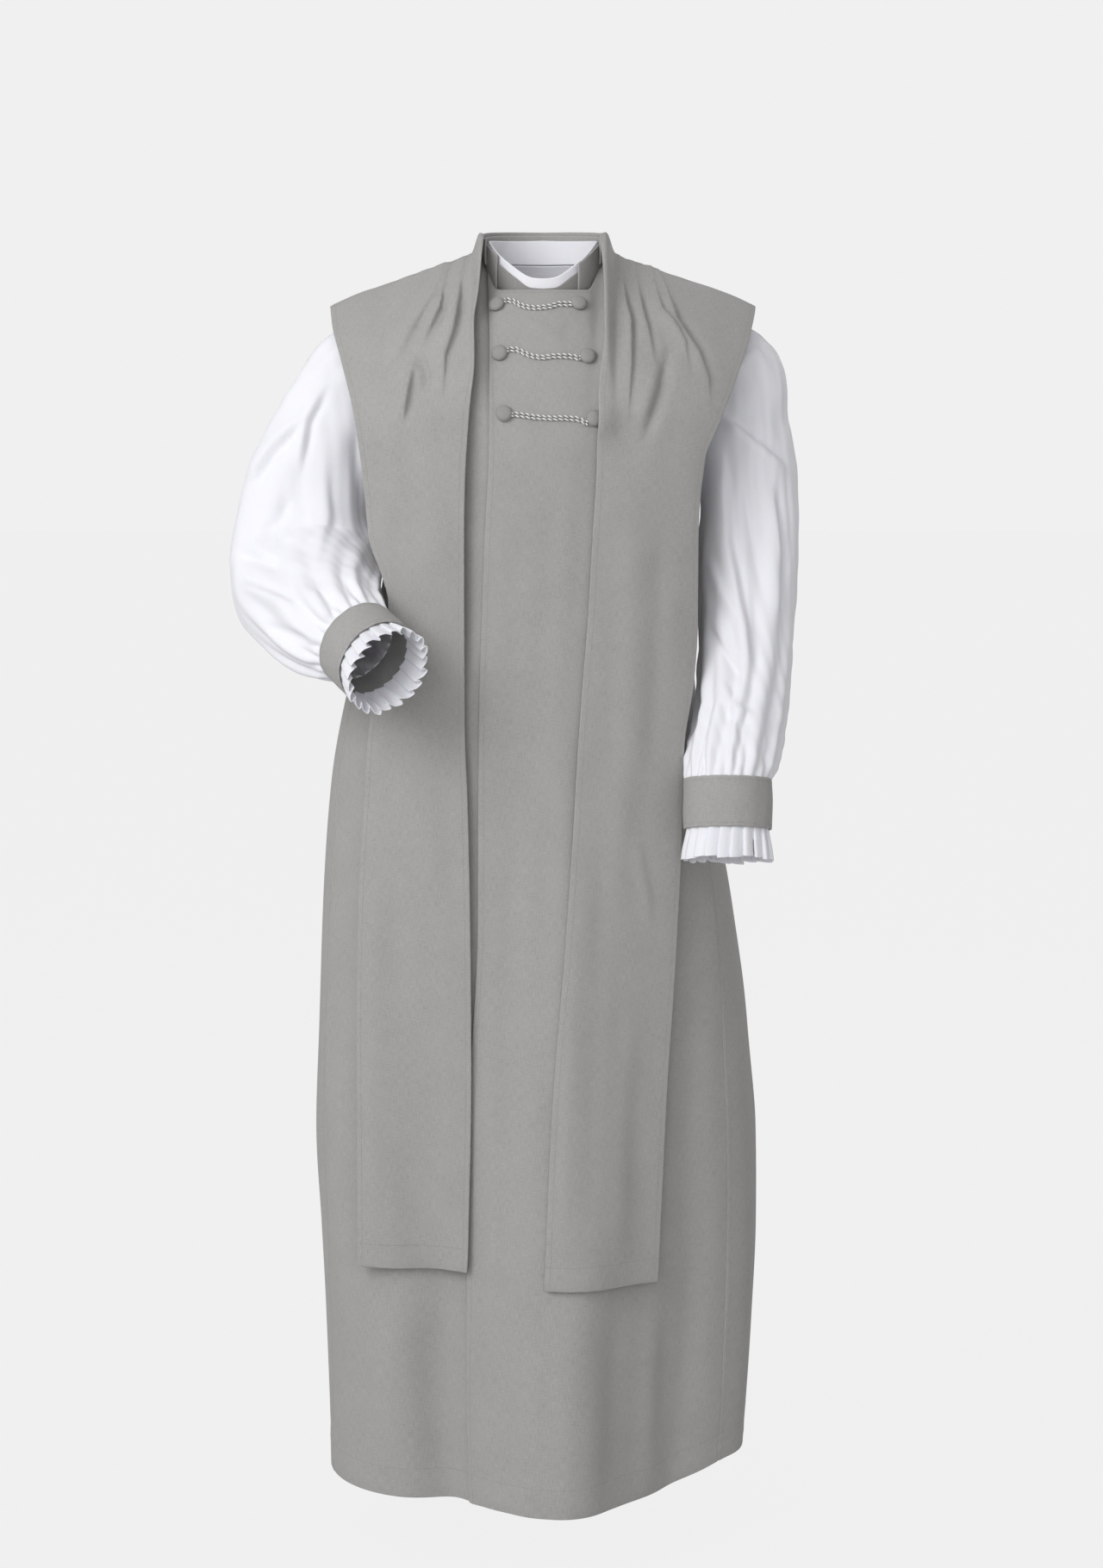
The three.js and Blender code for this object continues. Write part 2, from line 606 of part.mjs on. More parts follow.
function backPanel() {
  const edge = (side, z) => {
    const sign = side === "left" ? -1 : 1;
    const low = Math.min(z, UNDERARM);
    const seam = angleAt(bodyEdge(side, "back", low, UNDERARM), low, "body");
    const arm = 180 - Math.abs(angleAt(track(ARMHOLE, "z", "back", z), z, "cape"));
    return lerp(seam, sign * arm, smooth((z - UNDERARM) / BACK_ARMHOLE_TURN));
  };
  const half = NECK.half + NECK_LEAN.outer;
  add(
    "chimere_back",
    panel({
      ...BACK_ROWS,
      columns: 26,
      kind: "cape",
      thick: GREY_CLOTH,
      hem: bodyHem,
      offset: (x, z) => lerp(UNDER_OFFSET, OUTER_OFFSET, smooth((z - CAPE_RISE.from) / CAPE_RISE.over)),
      from: (z) => edge("right", z) + gapAngle(z),
      to: (z) => 360 + edge("left", z) - gapAngle(z),
      top: (x) => (Math.abs(x) < half ? shoulderHeight(half) : shoulderHeight(x)),
      topDepth: (x) =>
        (Math.abs(x) < half ? neckDepth(x, half, NECK.back + NECK_LEAN.outer + 2) : 0) + SEAM_GAP / 2,
      relief: (x, z) => pleatOut(BACK_PLEATS, x, z),
    }),
    GREY,
  );
}

function riseOverButton(x, z) {
  const distance = Math.hypot(x - BUTTON_RISE.x, z - BUTTON_RISE.z);
  return BUTTON_RISE.height * bump(distance, BUTTON_RISE.width);
}

function outerPanels() {
  const build = (name, rows, hem, pleats) => {
    const sign = Math.sign(rows[0].edge);
    const ends = [
      (z) => angleAt(track(rows, "z", "inner", z), z, "outer"),
      (z) => angleAt(track(rows, "z", "edge", z), z, "outer"),
    ];
    add(
      name,
      panel({
        ...OUTER_ROWS,
        columns: 16,
        kind: "outer",
        thick: GREY_CLOTH,
        hem: () => hem,
        offset: () => OUTER_OFFSET,
        from: sign < 0 ? ends[1] : ends[0],
        to: sign < 0 ? ends[0] : ends[1],
        top: shoulderHeight,
        topDepth: () => SEAM_GAP / 2,
        relief: (x, z) => pleatOut(pleats, x, z) + (sign > 0 ? riseOverButton(x, z) : 0),
      }),
      GREY,
    );
  };
  build("outer_panel_right", OUTER_RIGHT, OUTER_HEM.right, FRONT_PLEATS_RIGHT);
  build("outer_panel_left", OUTER_LEFT, OUTER_HEM.left, FRONT_PLEATS_LEFT);
}

// The rochet's body: white, inside the gown, its neck and armholes meeting collar and sleeves.
function rochetShapes() {
  const half = NECK.half + 1;
  const lowNeck = (angle) => track(NECK_BANDS.rochet, "angle", "low", angle) - SEAM_GAP * 4;
  const neckAngle = (x) => (Math.asin(Math.min(1, Math.abs(x) / half)) * 180) / Math.PI;
  const shared = {
    ...ROCHET_ROWS,
    columns: 11,
    kind: "body",
    thick: WHITE_CLOTH,
    hem: () => ROCHET_HEM,
    offset: () => ROCHET_OFFSET,
    round: ROCHET_ROUND,
  };
  const neckTop = (angleOf) => (x) => {
    if (Math.abs(x) >= half) return shoulderHeight(x);
    return lowNeck(angleOf(x)) - ROCHET_OFFSET - WHITE_CLOTH;
  };
  const depthOf = (depth) => (x) => neckDepth(x, half, depth) + SEAM_GAP / 2;
  const front = {
    ...shared,
    from: (z) => rochetEdgeAngle("left", z) + gapAngle(z),
    to: (z) => rochetEdgeAngle("right", z) - gapAngle(z),
    top: neckTop(neckAngle),
    topDepth: depthOf(NECK.front),
  };
  const back = {
    ...shared,
    from: (z) => backAngle(rochetEdgeAngle("right", z), z) + gapAngle(z),
    to: (z) => 360 + backAngle(rochetEdgeAngle("left", z), z) - gapAngle(z),
    top: neckTop((x) => 180 - neckAngle(x)),
    topDepth: depthOf(NECK.back),
  };
  return { front, back };
}

function rochetBody() {
  const { front, back } = rochetShapes();
  add("rochet_front", panel(front), WHITE, WHITE_ROUGHNESS);
  add("rochet_back", panel(back), WHITE, WHITE_ROUGHNESS);
}

const rochetEdgeAngle = (side, z) =>
  angleAt(bodyEdge(side, "rochet", z, ROCHET_UNDERARM), z, "body");

// Above the underarm the back's edge is the armhole's mirror; below it is the front's own edge.
function backAngle(frontAngle, z) {
  const mirrored = Math.sign(frontAngle) * (180 - Math.abs(frontAngle));
  return lerp(frontAngle, mirrored, smooth((z - ROCHET_UNDERARM) / ARMHOLE_TURN));
}

// A band that stands round the neck, between two angles, or all round.
function neckBand(name, lean, arc, table, thick, colour) {
  const step = NECK_STEP;
  const closed = arc.to - arc.from >= 360;
  const angles = [arc.from];
  for (let a = Math.ceil((arc.from + 2) / step) * step; a < arc.to - 2; a += step) angles.push(a);
  if (!closed) angles.push(arc.to);
  if (closed) angles.shift();
  const rows = 3;
  const ring = (extra) =>
    Array.from({ length: rows + 1 }, (_, r) =>
      angles.map((angle) => {
        const turned = Math.abs(((angle + 540) % 360) - 180);
        const share = r / rows;
        const z = lerp(
          track(table, "angle", "high", turned),
          track(table, "angle", "low", turned),
          share,
        );
        const out = lean + extra;
        const cosine = Math.cos(radians(angle));
        const depth = (cosine > 0 ? NECK.front : NECK.back) + out;
        return new THREE.Vector3(
          (NECK.half + out) * Math.sin(radians(angle)),
          -depth * cosine,
          z,
        );
      }),
    );
  add(name, wall(ring(thick), ring(0), closed), colour);
}

function neckBands() {
  neckBand("rochet_collar", NECK_LEAN.rochet, { from: 0, to: 360 }, NECK_BANDS.rochet, 2, WHITE);
  neckBand("collar_insert", NECK_LEAN.insert, INSERT_ARC, NECK_BANDS.insert, 2, DARK_GREY);
  neckBand("gown_collar", NECK_LEAN.gown, GOWN_COLLAR_GAP, NECK_BANDS.gown, 2, GREY);
  neckBand("outer_collar", NECK_LEAN.outer, OUTER_COLLAR_ARC, NECK_BANDS.outer, 2, GREY);
}

// The outside of the over-lapping front straight before x and z, and its outward normal.
const beforeAll = new THREE.Raycaster();

function onOverFront(x, z) {
  beforeAll.set(new THREE.Vector3(x, -FRONT_REACH, z), new THREE.Vector3(0, 1, 0));
  const [hit] = beforeAll.intersectObject(group.getObjectByName("chimere_front_left"));
  const normal = hit.face.normal.clone();
  return { point: hit.point, normal: normal.y > 0 ? normal.negate() : normal };
}

// A place for a round foot on the front: its mean normal, lifted clear of every facet under it.
function footOnFront(x, z, radius) {
  const around = [0.45, 0.8, 1].flatMap((share) =>
    Array.from({ length: BUTTON_SIDES }, (_, i) => {
      const turn = (i / BUTTON_SIDES) * Math.PI * 2;
      const reach = radius * share;
      return onOverFront(x + reach * Math.cos(turn), z + reach * Math.sin(turn));
    }),
  );
  const centre = onOverFront(x, z);
  const normal = around.reduce((sum, hit) => sum.add(hit.normal), new THREE.Vector3()).normalize();
  const heights = [...around, centre].map((hit) => hit.point.clone().sub(centre.point).dot(normal));
  const point = centre.point.clone().addScaledVector(normal, Math.max(...heights) + BUTTON_LIFT);
  return { point, normal };
}

function buttonGeometry() {
  const profile = BUTTON_PROFILE.map(
    ({ out, up }) => new THREE.Vector2(BUTTON_RADIUS * out, BUTTON_HEIGHT * up),
  );
  const lathe = new THREE.LatheGeometry(profile, BUTTON_SIDES);
  lathe.deleteAttribute("normal");
  lathe.deleteAttribute("uv");
  const merged = mergeVertices(lathe, 1e-3);
  const kept = [];
  const index = merged.index.array;
  for (let i = 0; i < index.length; i += 3) {
    const [a, b, c] = [index[i], index[i + 1], index[i + 2]];
    if (a !== b && b !== c && a !== c) kept.push(a, b, c);
  }
  return faceOutward(Array.from(merged.attributes.position.array), kept);
}

function buttonsAndCords() {
  const up = new THREE.Vector3(0, 1, 0);
  BUTTON_PLACES.forEach((pair, i) => {
    const number = i + 1;
    const placed = {};
    for (const side of ["right", "left"]) {
      const [x, z] = pair[side];
      const { point, normal } = footOnFront(x, z, BUTTON_RADIUS);
      const mesh = add(`button_${side}_${number}`, buttonGeometry(), GREY);
      mesh.position.copy(point);
      mesh.quaternion.setFromUnitVectors(up, normal);
      placed[side] = [x, z];
    }
    add(`cord_${number}`, cordGeometry(placed.right, placed.left), SILVER, CORD_ROUGHNESS);
  });
}

// The cord lies on the front from one button to the other, in a slight wave.
function cordGeometry(start, end) {
  const clear = BUTTON_RADIUS + CORD_GAP;
  const direction = new THREE.Vector2(end[0] - start[0], end[1] - start[1]).normalize();
  const first = [start[0] + direction.x * clear, start[1] + direction.y * clear];
  const last = [end[0] - direction.x * clear, end[1] - direction.y * clear];
  const points = Array.from({ length: CORD_STEPS + 1 }, (_, i) => {
    const share = i / CORD_STEPS;
    const drop = track(CORD_SAG, "share", "drop", share);
    const x = lerp(first[0], last[0], share);
    const { point, normal } = onOverFront(x, lerp(first[1], last[1], share) - drop);
    return point.addScaledVector(normal, CORD_RADIUS + CORD_LIFT);
  });
  const outline = new THREE.Shape();
  for (let i = 0; i < CORD_SIDES; i += 1) {
    const turn = (i / CORD_SIDES) * Math.PI * 2;
    const place = [Math.cos(turn) * CORD_RADIUS, Math.sin(turn) * CORD_RADIUS];
    if (i === 0) outline.moveTo(...place);
    else outline.lineTo(...place);
  }
  const path = new THREE.CatmullRomCurve3(points);
  return new THREE.ExtrudeGeometry(outline, { steps: CORD_STEPS, extrudePath: path });
}

// A tube of cloth through a table of sections: points round each one, rows along it.
function sleeveGrid(table, sign, cuffAxis) {
  const centres = new THREE.CatmullRomCurve3(
    table.map((row) => new THREE.Vector3(...row.at)),
    false,
    "centripetal",
  );
  const indexed = table.map((row, i) => ({
    i,
    a: row.a,
    b: row.b,
    gather: row.gather,
    wx: row.wide[0],
    wy: row.wide[1],
    wz: row.wide[2],
  }));
  const last = table.length - 1;
  const grid = [];
  for (let r = 0; r <= SLEEVE_ROWS; r += 1) {
    const share = r / SLEEVE_ROWS;
    const at = share * last;
    const read = (column) => track(indexed, "i", column, at);
    const centre = centres.getPoint(share);
    const tangent = centres.getTangent(share);
    tangent.lerp(new THREE.Vector3(...cuffAxis), smooth((share - 0.8) / 0.2)).normalize();
    if (r === 0) tangent.set(sign, 0, 0);
    const wide = new THREE.Vector3(read("wx"), read("wy"), read("wz"));
    wide.addScaledVector(tangent, -wide.dot(tangent)).normalize();
    const deep = new THREE.Vector3().crossVectors(tangent, wide).multiplyScalar(sign);
    grid.push(
      Array.from({ length: SLEEVE_COLUMNS }, (_, c) => {
        const degrees = (c / SLEEVE_COLUMNS) * 360;
        const turn = radians(degrees);
        const waves = read("gather") * Math.cos(turn * SLEEVE_GATHERS);
        const folds = SLEEVE_FOLDS.reduce((sum, fold) => {
          const offset = ((degrees - fold.angle + 540) % 360) - 180;
          return sum + fold.height * bump(offset, fold.width) * bump(share - fold.middle, fold.reach);
        }, 0);
        const out = waves + folds;
        return centre
          .clone()
          .addScaledVector(wide, (read("a") + out) * Math.cos(turn))
          .addScaledVector(deep, (read("b") + out) * Math.sin(turn));
      }),
    );
  }
  return { grid, centres };
}

// The armhole's own loop on the rochet: the sleeve's first ring lies along the edges of the
// two panels, point for point, a seam's gap further out.
function armholeRing(sign) {
  const { front, back } = rochetShapes();
  const rows = front.upperRows;
  const perRow = SLEEVE_COLUMNS / 2 / rows;
  const edgeOf = (shape, share) =>
    Array.from({ length: rows + 1 }, (_, row) => panelPoint(shape, row, share, WHITE_CLOTH));
  const frontEdge = edgeOf(front, sign < 0 ? 0 : 1);
  const backEdge = edgeOf(back, sign < 0 ? 1 : 0);
  return Array.from({ length: SLEEVE_COLUMNS }, (_, column) => {
    const inFront = column <= SLEEVE_COLUMNS / 2;
    const edge = inFront ? frontEdge : backEdge;
    const place = (inFront ? column : SLEEVE_COLUMNS - column) / perRow;
    const row = Math.min(rows - 1, Math.floor(place));
    const point = edge[row].clone().lerp(edge[row + 1], place - row);
    return point.add(new THREE.Vector3(sign * ARMHOLE_GAP, 0, 0));
  });
}

function sleeves() {
  const build = (name, table, sign, cuffAxis) => {
    const { grid, centres } = sleeveGrid(table, sign, cuffAxis);
    grid[0] = armholeRing(sign);
    const middleOf = (r) => centres.getPoint(r / SLEEVE_ROWS);
    const inner = movedIn(grid, WHITE_CLOTH, (p, r) => middleOf(r).sub(p), true);
    add(name, wall(grid, inner, true), WHITE, WHITE_ROUGHNESS);
  };
  build("sleeve_right", SLEEVE_RIGHT, -1, CUFF_RIGHT_AXIS);
  build("sleeve_left", SLEEVE_LEFT, 1, CUFF_LEFT_AXIS);
}

// An oval band along a straight line: the cuff, and the ruffle below it.
function armBand({ start, axis, wide, columns, rows, sizeAt }) {
  const along = new THREE.Vector3(...axis).normalize();
  const across = new THREE.Vector3(...wide);
  across.addScaledVector(along, -across.dot(along)).normalize();
  const deep = new THREE.Vector3().crossVectors(along, across);
  return Array.from({ length: rows + 1 }, (_, r) =>
    Array.from({ length: columns }, (_, c) => {
      const { a, b, length, turn } = sizeAt(r / rows, c);
      return new THREE.Vector3(...start)
        .addScaledVector(along, length)
        .addScaledVector(across, a * Math.cos(turn))
        .addScaledVector(deep, b * Math.sin(turn));
    }),
  );
}

function cuffAndRuffle(side, table, axis) {
  const end = table[table.length - 1];
  const along = new THREE.Vector3(...axis).normalize();
  const start = new THREE.Vector3(...end.at).addScaledVector(along, SEAM_GAP * 1.5);
  const shared = { axis, wide: end.wide };
  const cuff = armBand({
    ...shared,
    start: start.toArray(),
    columns: CUFF.columns,
    rows: CUFF.rows,
    sizeAt: (share, c) => ({
      a: CUFF.a,
      b: CUFF.b,
      length: share * CUFF.length,
      turn: (c / CUFF.columns) * Math.PI * 2,
    }),
  });
  const inward = (point) => {
    const from = new THREE.Vector3(...end.at).sub(point);
    return from.addScaledVector(along, -from.dot(along));
  };
  add(`cuff_${side}`, wall(cuff, movedIn(cuff, CUFF.thick, inward, true), true), GREY);
  // Knife pleats: a slow rise and a sharp fall, three points to a pleat.
  const stages = [
    { phase: 0, out: -1 },
    { phase: 0.36, out: 0.25 },
    { phase: 0.74, out: 1 },
  ];
  const columns = RUFFLE.pleats * stages.length;
  const inside = CUFF.thick + RUFFLE_CLOTH * 0.5 + 2.2;
  const ruffle = armBand({
    ...shared,
    start: start.toArray(),
    columns,
    rows: RUFFLE.rows,
    sizeAt: (share, c) => {
      const stage = stages[c % stages.length];
      const pleat = Math.floor(c / stages.length);
      const open = smooth(share * 1.15);
      const out = RUFFLE.flare * share + stage.out * lerp(1.1, RUFFLE.wave, open) - inside;
      const begin = CUFF.length - RUFFLE.inside;
      return {
        a: CUFF.a + out,
        b: CUFF.b + out,
        length: begin + share * (RUFFLE.length + RUFFLE.inside),
        turn: ((pleat + stage.phase) / RUFFLE.pleats) * Math.PI * 2,
      };
    },
  });
  const ruffleWall = wall(ruffle, movedIn(ruffle, RUFFLE_CLOTH, inward, true), true);
  add(`ruffle_${side}`, ruffleWall, WHITE, WHITE_ROUGHNESS);
}

backPanel();
frontPanels();
outerPanels();
neckBands();
buttonsAndCords();
rochetBody();
sleeves();
cuffAndRuffle("right", SLEEVE_RIGHT, CUFF_RIGHT_AXIS);
cuffAndRuffle("left", SLEEVE_LEFT, CUFF_LEFT_AXIS);

export default group;
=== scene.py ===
"""Dresses the chimere and rochet set: cloth, creases, hems, stitches, cords, light and camera.

Sizes in the tables are millimetres. Meshes are in metres: +Z up, the front faces -Y, and +X is
the wearer's left side. The origin is the middle of the neck base.
"""

from __future__ import annotations

import logging
import math
from collections.abc import Callable, Sequence
from dataclasses import dataclass, field
from enum import Enum

import bpy
import numpy as np
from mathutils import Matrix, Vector
from mathutils.bvhtree import BVHTree

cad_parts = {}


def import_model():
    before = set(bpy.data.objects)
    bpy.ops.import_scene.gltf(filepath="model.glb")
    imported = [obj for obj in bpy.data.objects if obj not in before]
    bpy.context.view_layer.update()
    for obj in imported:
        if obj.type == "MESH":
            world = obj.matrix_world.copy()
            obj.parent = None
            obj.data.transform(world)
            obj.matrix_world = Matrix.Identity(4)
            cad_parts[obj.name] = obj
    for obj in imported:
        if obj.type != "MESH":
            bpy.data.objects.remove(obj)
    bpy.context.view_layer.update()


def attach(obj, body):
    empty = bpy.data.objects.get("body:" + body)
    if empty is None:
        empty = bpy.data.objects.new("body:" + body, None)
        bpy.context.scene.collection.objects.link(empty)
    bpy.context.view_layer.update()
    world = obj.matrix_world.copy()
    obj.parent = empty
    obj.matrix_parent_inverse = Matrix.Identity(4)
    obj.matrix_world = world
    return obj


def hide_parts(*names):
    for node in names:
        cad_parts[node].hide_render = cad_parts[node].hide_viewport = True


LOG = logging.getLogger("chimere_rochet")
MM = 0.001
Array = np.ndarray
Field = Callable[[Array, Array], Array]
# A crease whose steep side has less than this share of its width is a pleat's folded edge.
FOLDED = 0.3


class Layer(Enum):
    """Which half-width of the hollow form a piece follows."""

    BODY = "body"
    OUTER = "outer"
    CAPE = "cape"


class Side(Enum):
    """The wearer's right or left; the value is the sign of X."""

    RIGHT = -1
    LEFT = 1


# ================= curves through tables =================


def lerp(a: Array | float, b: Array | float, t: Array | float) -> Array | float:
    """Returns the value a share t of the way from a to b."""
    return a + (b - a) * t


def smooth(t: Array | float) -> Array:
    """Returns t held to 0..1 with both ends eased."""
    t = np.clip(t, 0.0, 1.0)
    return t * t * (3 - 2 * t)


def bump(offset: Array, width: Array | float) -> Array:
    """Returns a soft bell, 1 at no offset and near 0 at one width."""
    return np.exp(-2 * (offset / width) ** 2)


def wrapped(angle: Array) -> Array:
    """Returns the angle, in degrees, between -180 and 180."""
    return (angle + 540) % 360 - 180


def unit(vectors: Array) -> Array:
    """Returns the vectors along the last axis at length 1."""
    return vectors / np.maximum(np.linalg.norm(vectors, axis=-1, keepdims=True), 1e-9)


class Track:
    """A smooth curve through table rows that never overshoots them."""

    def __init__(self, keys: Sequence[float], values: Sequence[float]) -> None:
        """Keeps the rows in rising order with a slope at each.

        Args:
            keys: where each row stands.
            values: the curve's value there.
        """
        order = np.argsort(keys)
        self.keys = np.array(keys, float)[order]
        self.values = np.array(values, float)[order]
        spans = np.diff(self.values) / np.diff(self.keys)
        inner = np.zeros(len(spans) - 1)
        same = spans[:-1] * spans[1:] > 0
        total = np.where(same, spans[:-1] + spans[1:], 1.0)
        inner[same] = (2 * spans[:-1] * spans[1:] / total)[same]
        self.slopes = np.concatenate([spans[:1], inner, spans[-1:]])

    def __call__(self, at: Array | float) -> Array:
        """Reads the curve.

        Args:
            at: one place or an array of places.

        Returns:
            The values there, held at the first and last row beyond them.
        """
        at = np.clip(np.asarray(at, float), self.keys[0], self.keys[-1])
        i = np.clip(np.searchsorted(self.keys, at, "right") - 1, 0, len(self.keys) - 2)
        span = self.keys[i + 1] - self.keys[i]
        t = (at - self.keys[i]) / span
        bend = (1 - t) * self.slopes[i] * span - t * self.slopes[i + 1] * span
        return lerp(self.values[i], self.values[i + 1], smooth(t)) + t * (1 - t) * bend


def columns(rows: Sequence[Sequence[float]], key: int, value: int) -> Track:
    """Returns a Track through two columns of a table."""
    return Track([row[key] for row in rows], [row[value] for row in rows])


@dataclass(frozen=True)
class Crease:
    """A soft ridge or trough along a line on a piece.

    The line's points are in the piece's own two coordinates; height is outwards in mm, negative
    for a trough. Steep is the part of the width that the side towards +X takes: a small part makes
    a pleat's folded edge, with a hollow beside it. Over is how far that edge hangs over the
    hollow, as a share of the height. Fade is the share of the line over which both ends die away;
    from 1 up, only the far end does.
    """

    line: tuple[tuple[float, float], ...]
    height: float
    width: float
    steep: float = 1.0
    fade: float = 0.25
    over: float = 0.0

    def measure(self, u: Array, v: Array) -> tuple[Array, Array, Array]:
        """Finds each point's place beside the line.

        Args:
            u: first coordinate of the points.
            v: second coordinate of the points.

        Returns:
            The distance, the side (below 0 towards +X) and the taper along the line.
        """
        best = np.full(np.shape(u), np.inf)
        signed = np.zeros(np.shape(u))
        along = np.zeros(np.shape(u))
        lengths = [math.dist(a, b) for a, b in zip(self.line, self.line[1:])]
        total, done = sum(lengths), 0.0
        for (a, b), length in zip(zip(self.line, self.line[1:]), lengths):
            du, dv = (b[0] - a[0]) / length, (b[1] - a[1]) / length
            t = np.clip((u - a[0]) * du + (v - a[1]) * dv, 0, length)
            off_u, off_v = u - a[0] - t * du, v - a[1] - t * dv
            distance = np.hypot(off_u, off_v)
            nearer = distance < best
            best = np.where(nearer, distance, best)
            signed = np.where(nearer, np.sign(off_u * dv - off_v * du), signed)
            along = np.where(nearer, (done + t) / total, along)
            done += length
        ends = smooth(along / self.fade) * smooth((1 - along) / self.fade)
        taper = ends if self.fade < 1 else smooth((1 - along) * self.fade)
        return best, signed, taper

    def relief(self, u: Array, v: Array) -> Array:
        """Returns how far out the crease lifts each point, in mm."""
        best, signed, taper = self.measure(u, v)
        lift = bump(best, np.where(signed < 0, self.width * self.steep, self.width))
        if self.steep < FOLDED:
            hollow = bump(best - 0.4 * self.width, 0.45 * self.width)
            dip = 0.8 * hollow * (best / (0.3 * self.width + best))
            lift = np.where(signed < 0, lift - dip, lift)
        return self.height * lift * taper

    def lean(self, u: Array, v: Array) -> Array:
        """Returns how far a pleat's folded edge hangs over its hollow towards +X, in mm."""
        if self.steep >= FOLDED:
            return np.zeros(np.shape(u))
        best, signed, taper = self.measure(u, v)
        width = np.where(signed < 0, self.width * self.steep * 0.7, self.width * 0.5)
        return self.over * self.height * bump(best, width) * taper


def relief_of(creases: Sequence[Crease], leaning: bool = False) -> Field:
    """Returns the joint lift, or the joint lean, of several creases as one field."""

    def total(u: Array, v: Array) -> Array:
        """Adds up the creases' lifts or leans at u and v."""
        parts = [c.lean(u, v) if leaning else c.relief(u, v) for c in creases]
        return np.sum(parts, axis=0) if parts else np.zeros(np.shape(u))

    return total


def wander(u: Array, v: Array, seed: int, size: float) -> Array:
    """Makes a slow unevenness, as cloth has between its main folds.

    Args:
        u: first coordinate in mm.
        v: second coordinate in mm.
        seed: which of the patterns.
        size: the mean width of its swells in mm.

    Returns:
        Values from about -1 to 1.
    """
    rng = np.random.default_rng(seed)
    total = np.zeros(np.shape(u))
    for _ in range(7):
        turn, phase = rng.uniform(0, 2 * math.pi, 2)
        wave = 2 * math.pi / (size * rng.uniform(0.6, 1.7))
        total += np.sin((u * math.cos(turn) * 1.6 + v * math.sin(turn) * 0.7) * wave + phase)
    return total / 3.2


# ================= meshes of cloth =================


def normals_of(grid: Array, closed: bool) -> Array:
    """Works out the unit normals of a grid of points.

    Args:
        grid: rows by columns by 3.
        closed: whether the columns run all the way round.

    Returns:
        An array of the same shape, pointing away from the hollow inside.
    """
    if closed:
        across = np.roll(grid, -1, axis=1) - np.roll(grid, 1, axis=1)
    else:
        across = np.gradient(grid, axis=1)
    down = np.gradient(grid, axis=0)
    return unit(np.cross(down, across))


def placed(name: str, data: bpy.types.ID) -> bpy.types.Object:
    """Makes an object that holds the data and links it to the scene."""
    made = bpy.data.objects.new(name, data)
    bpy.context.scene.collection.objects.link(made)
    return made


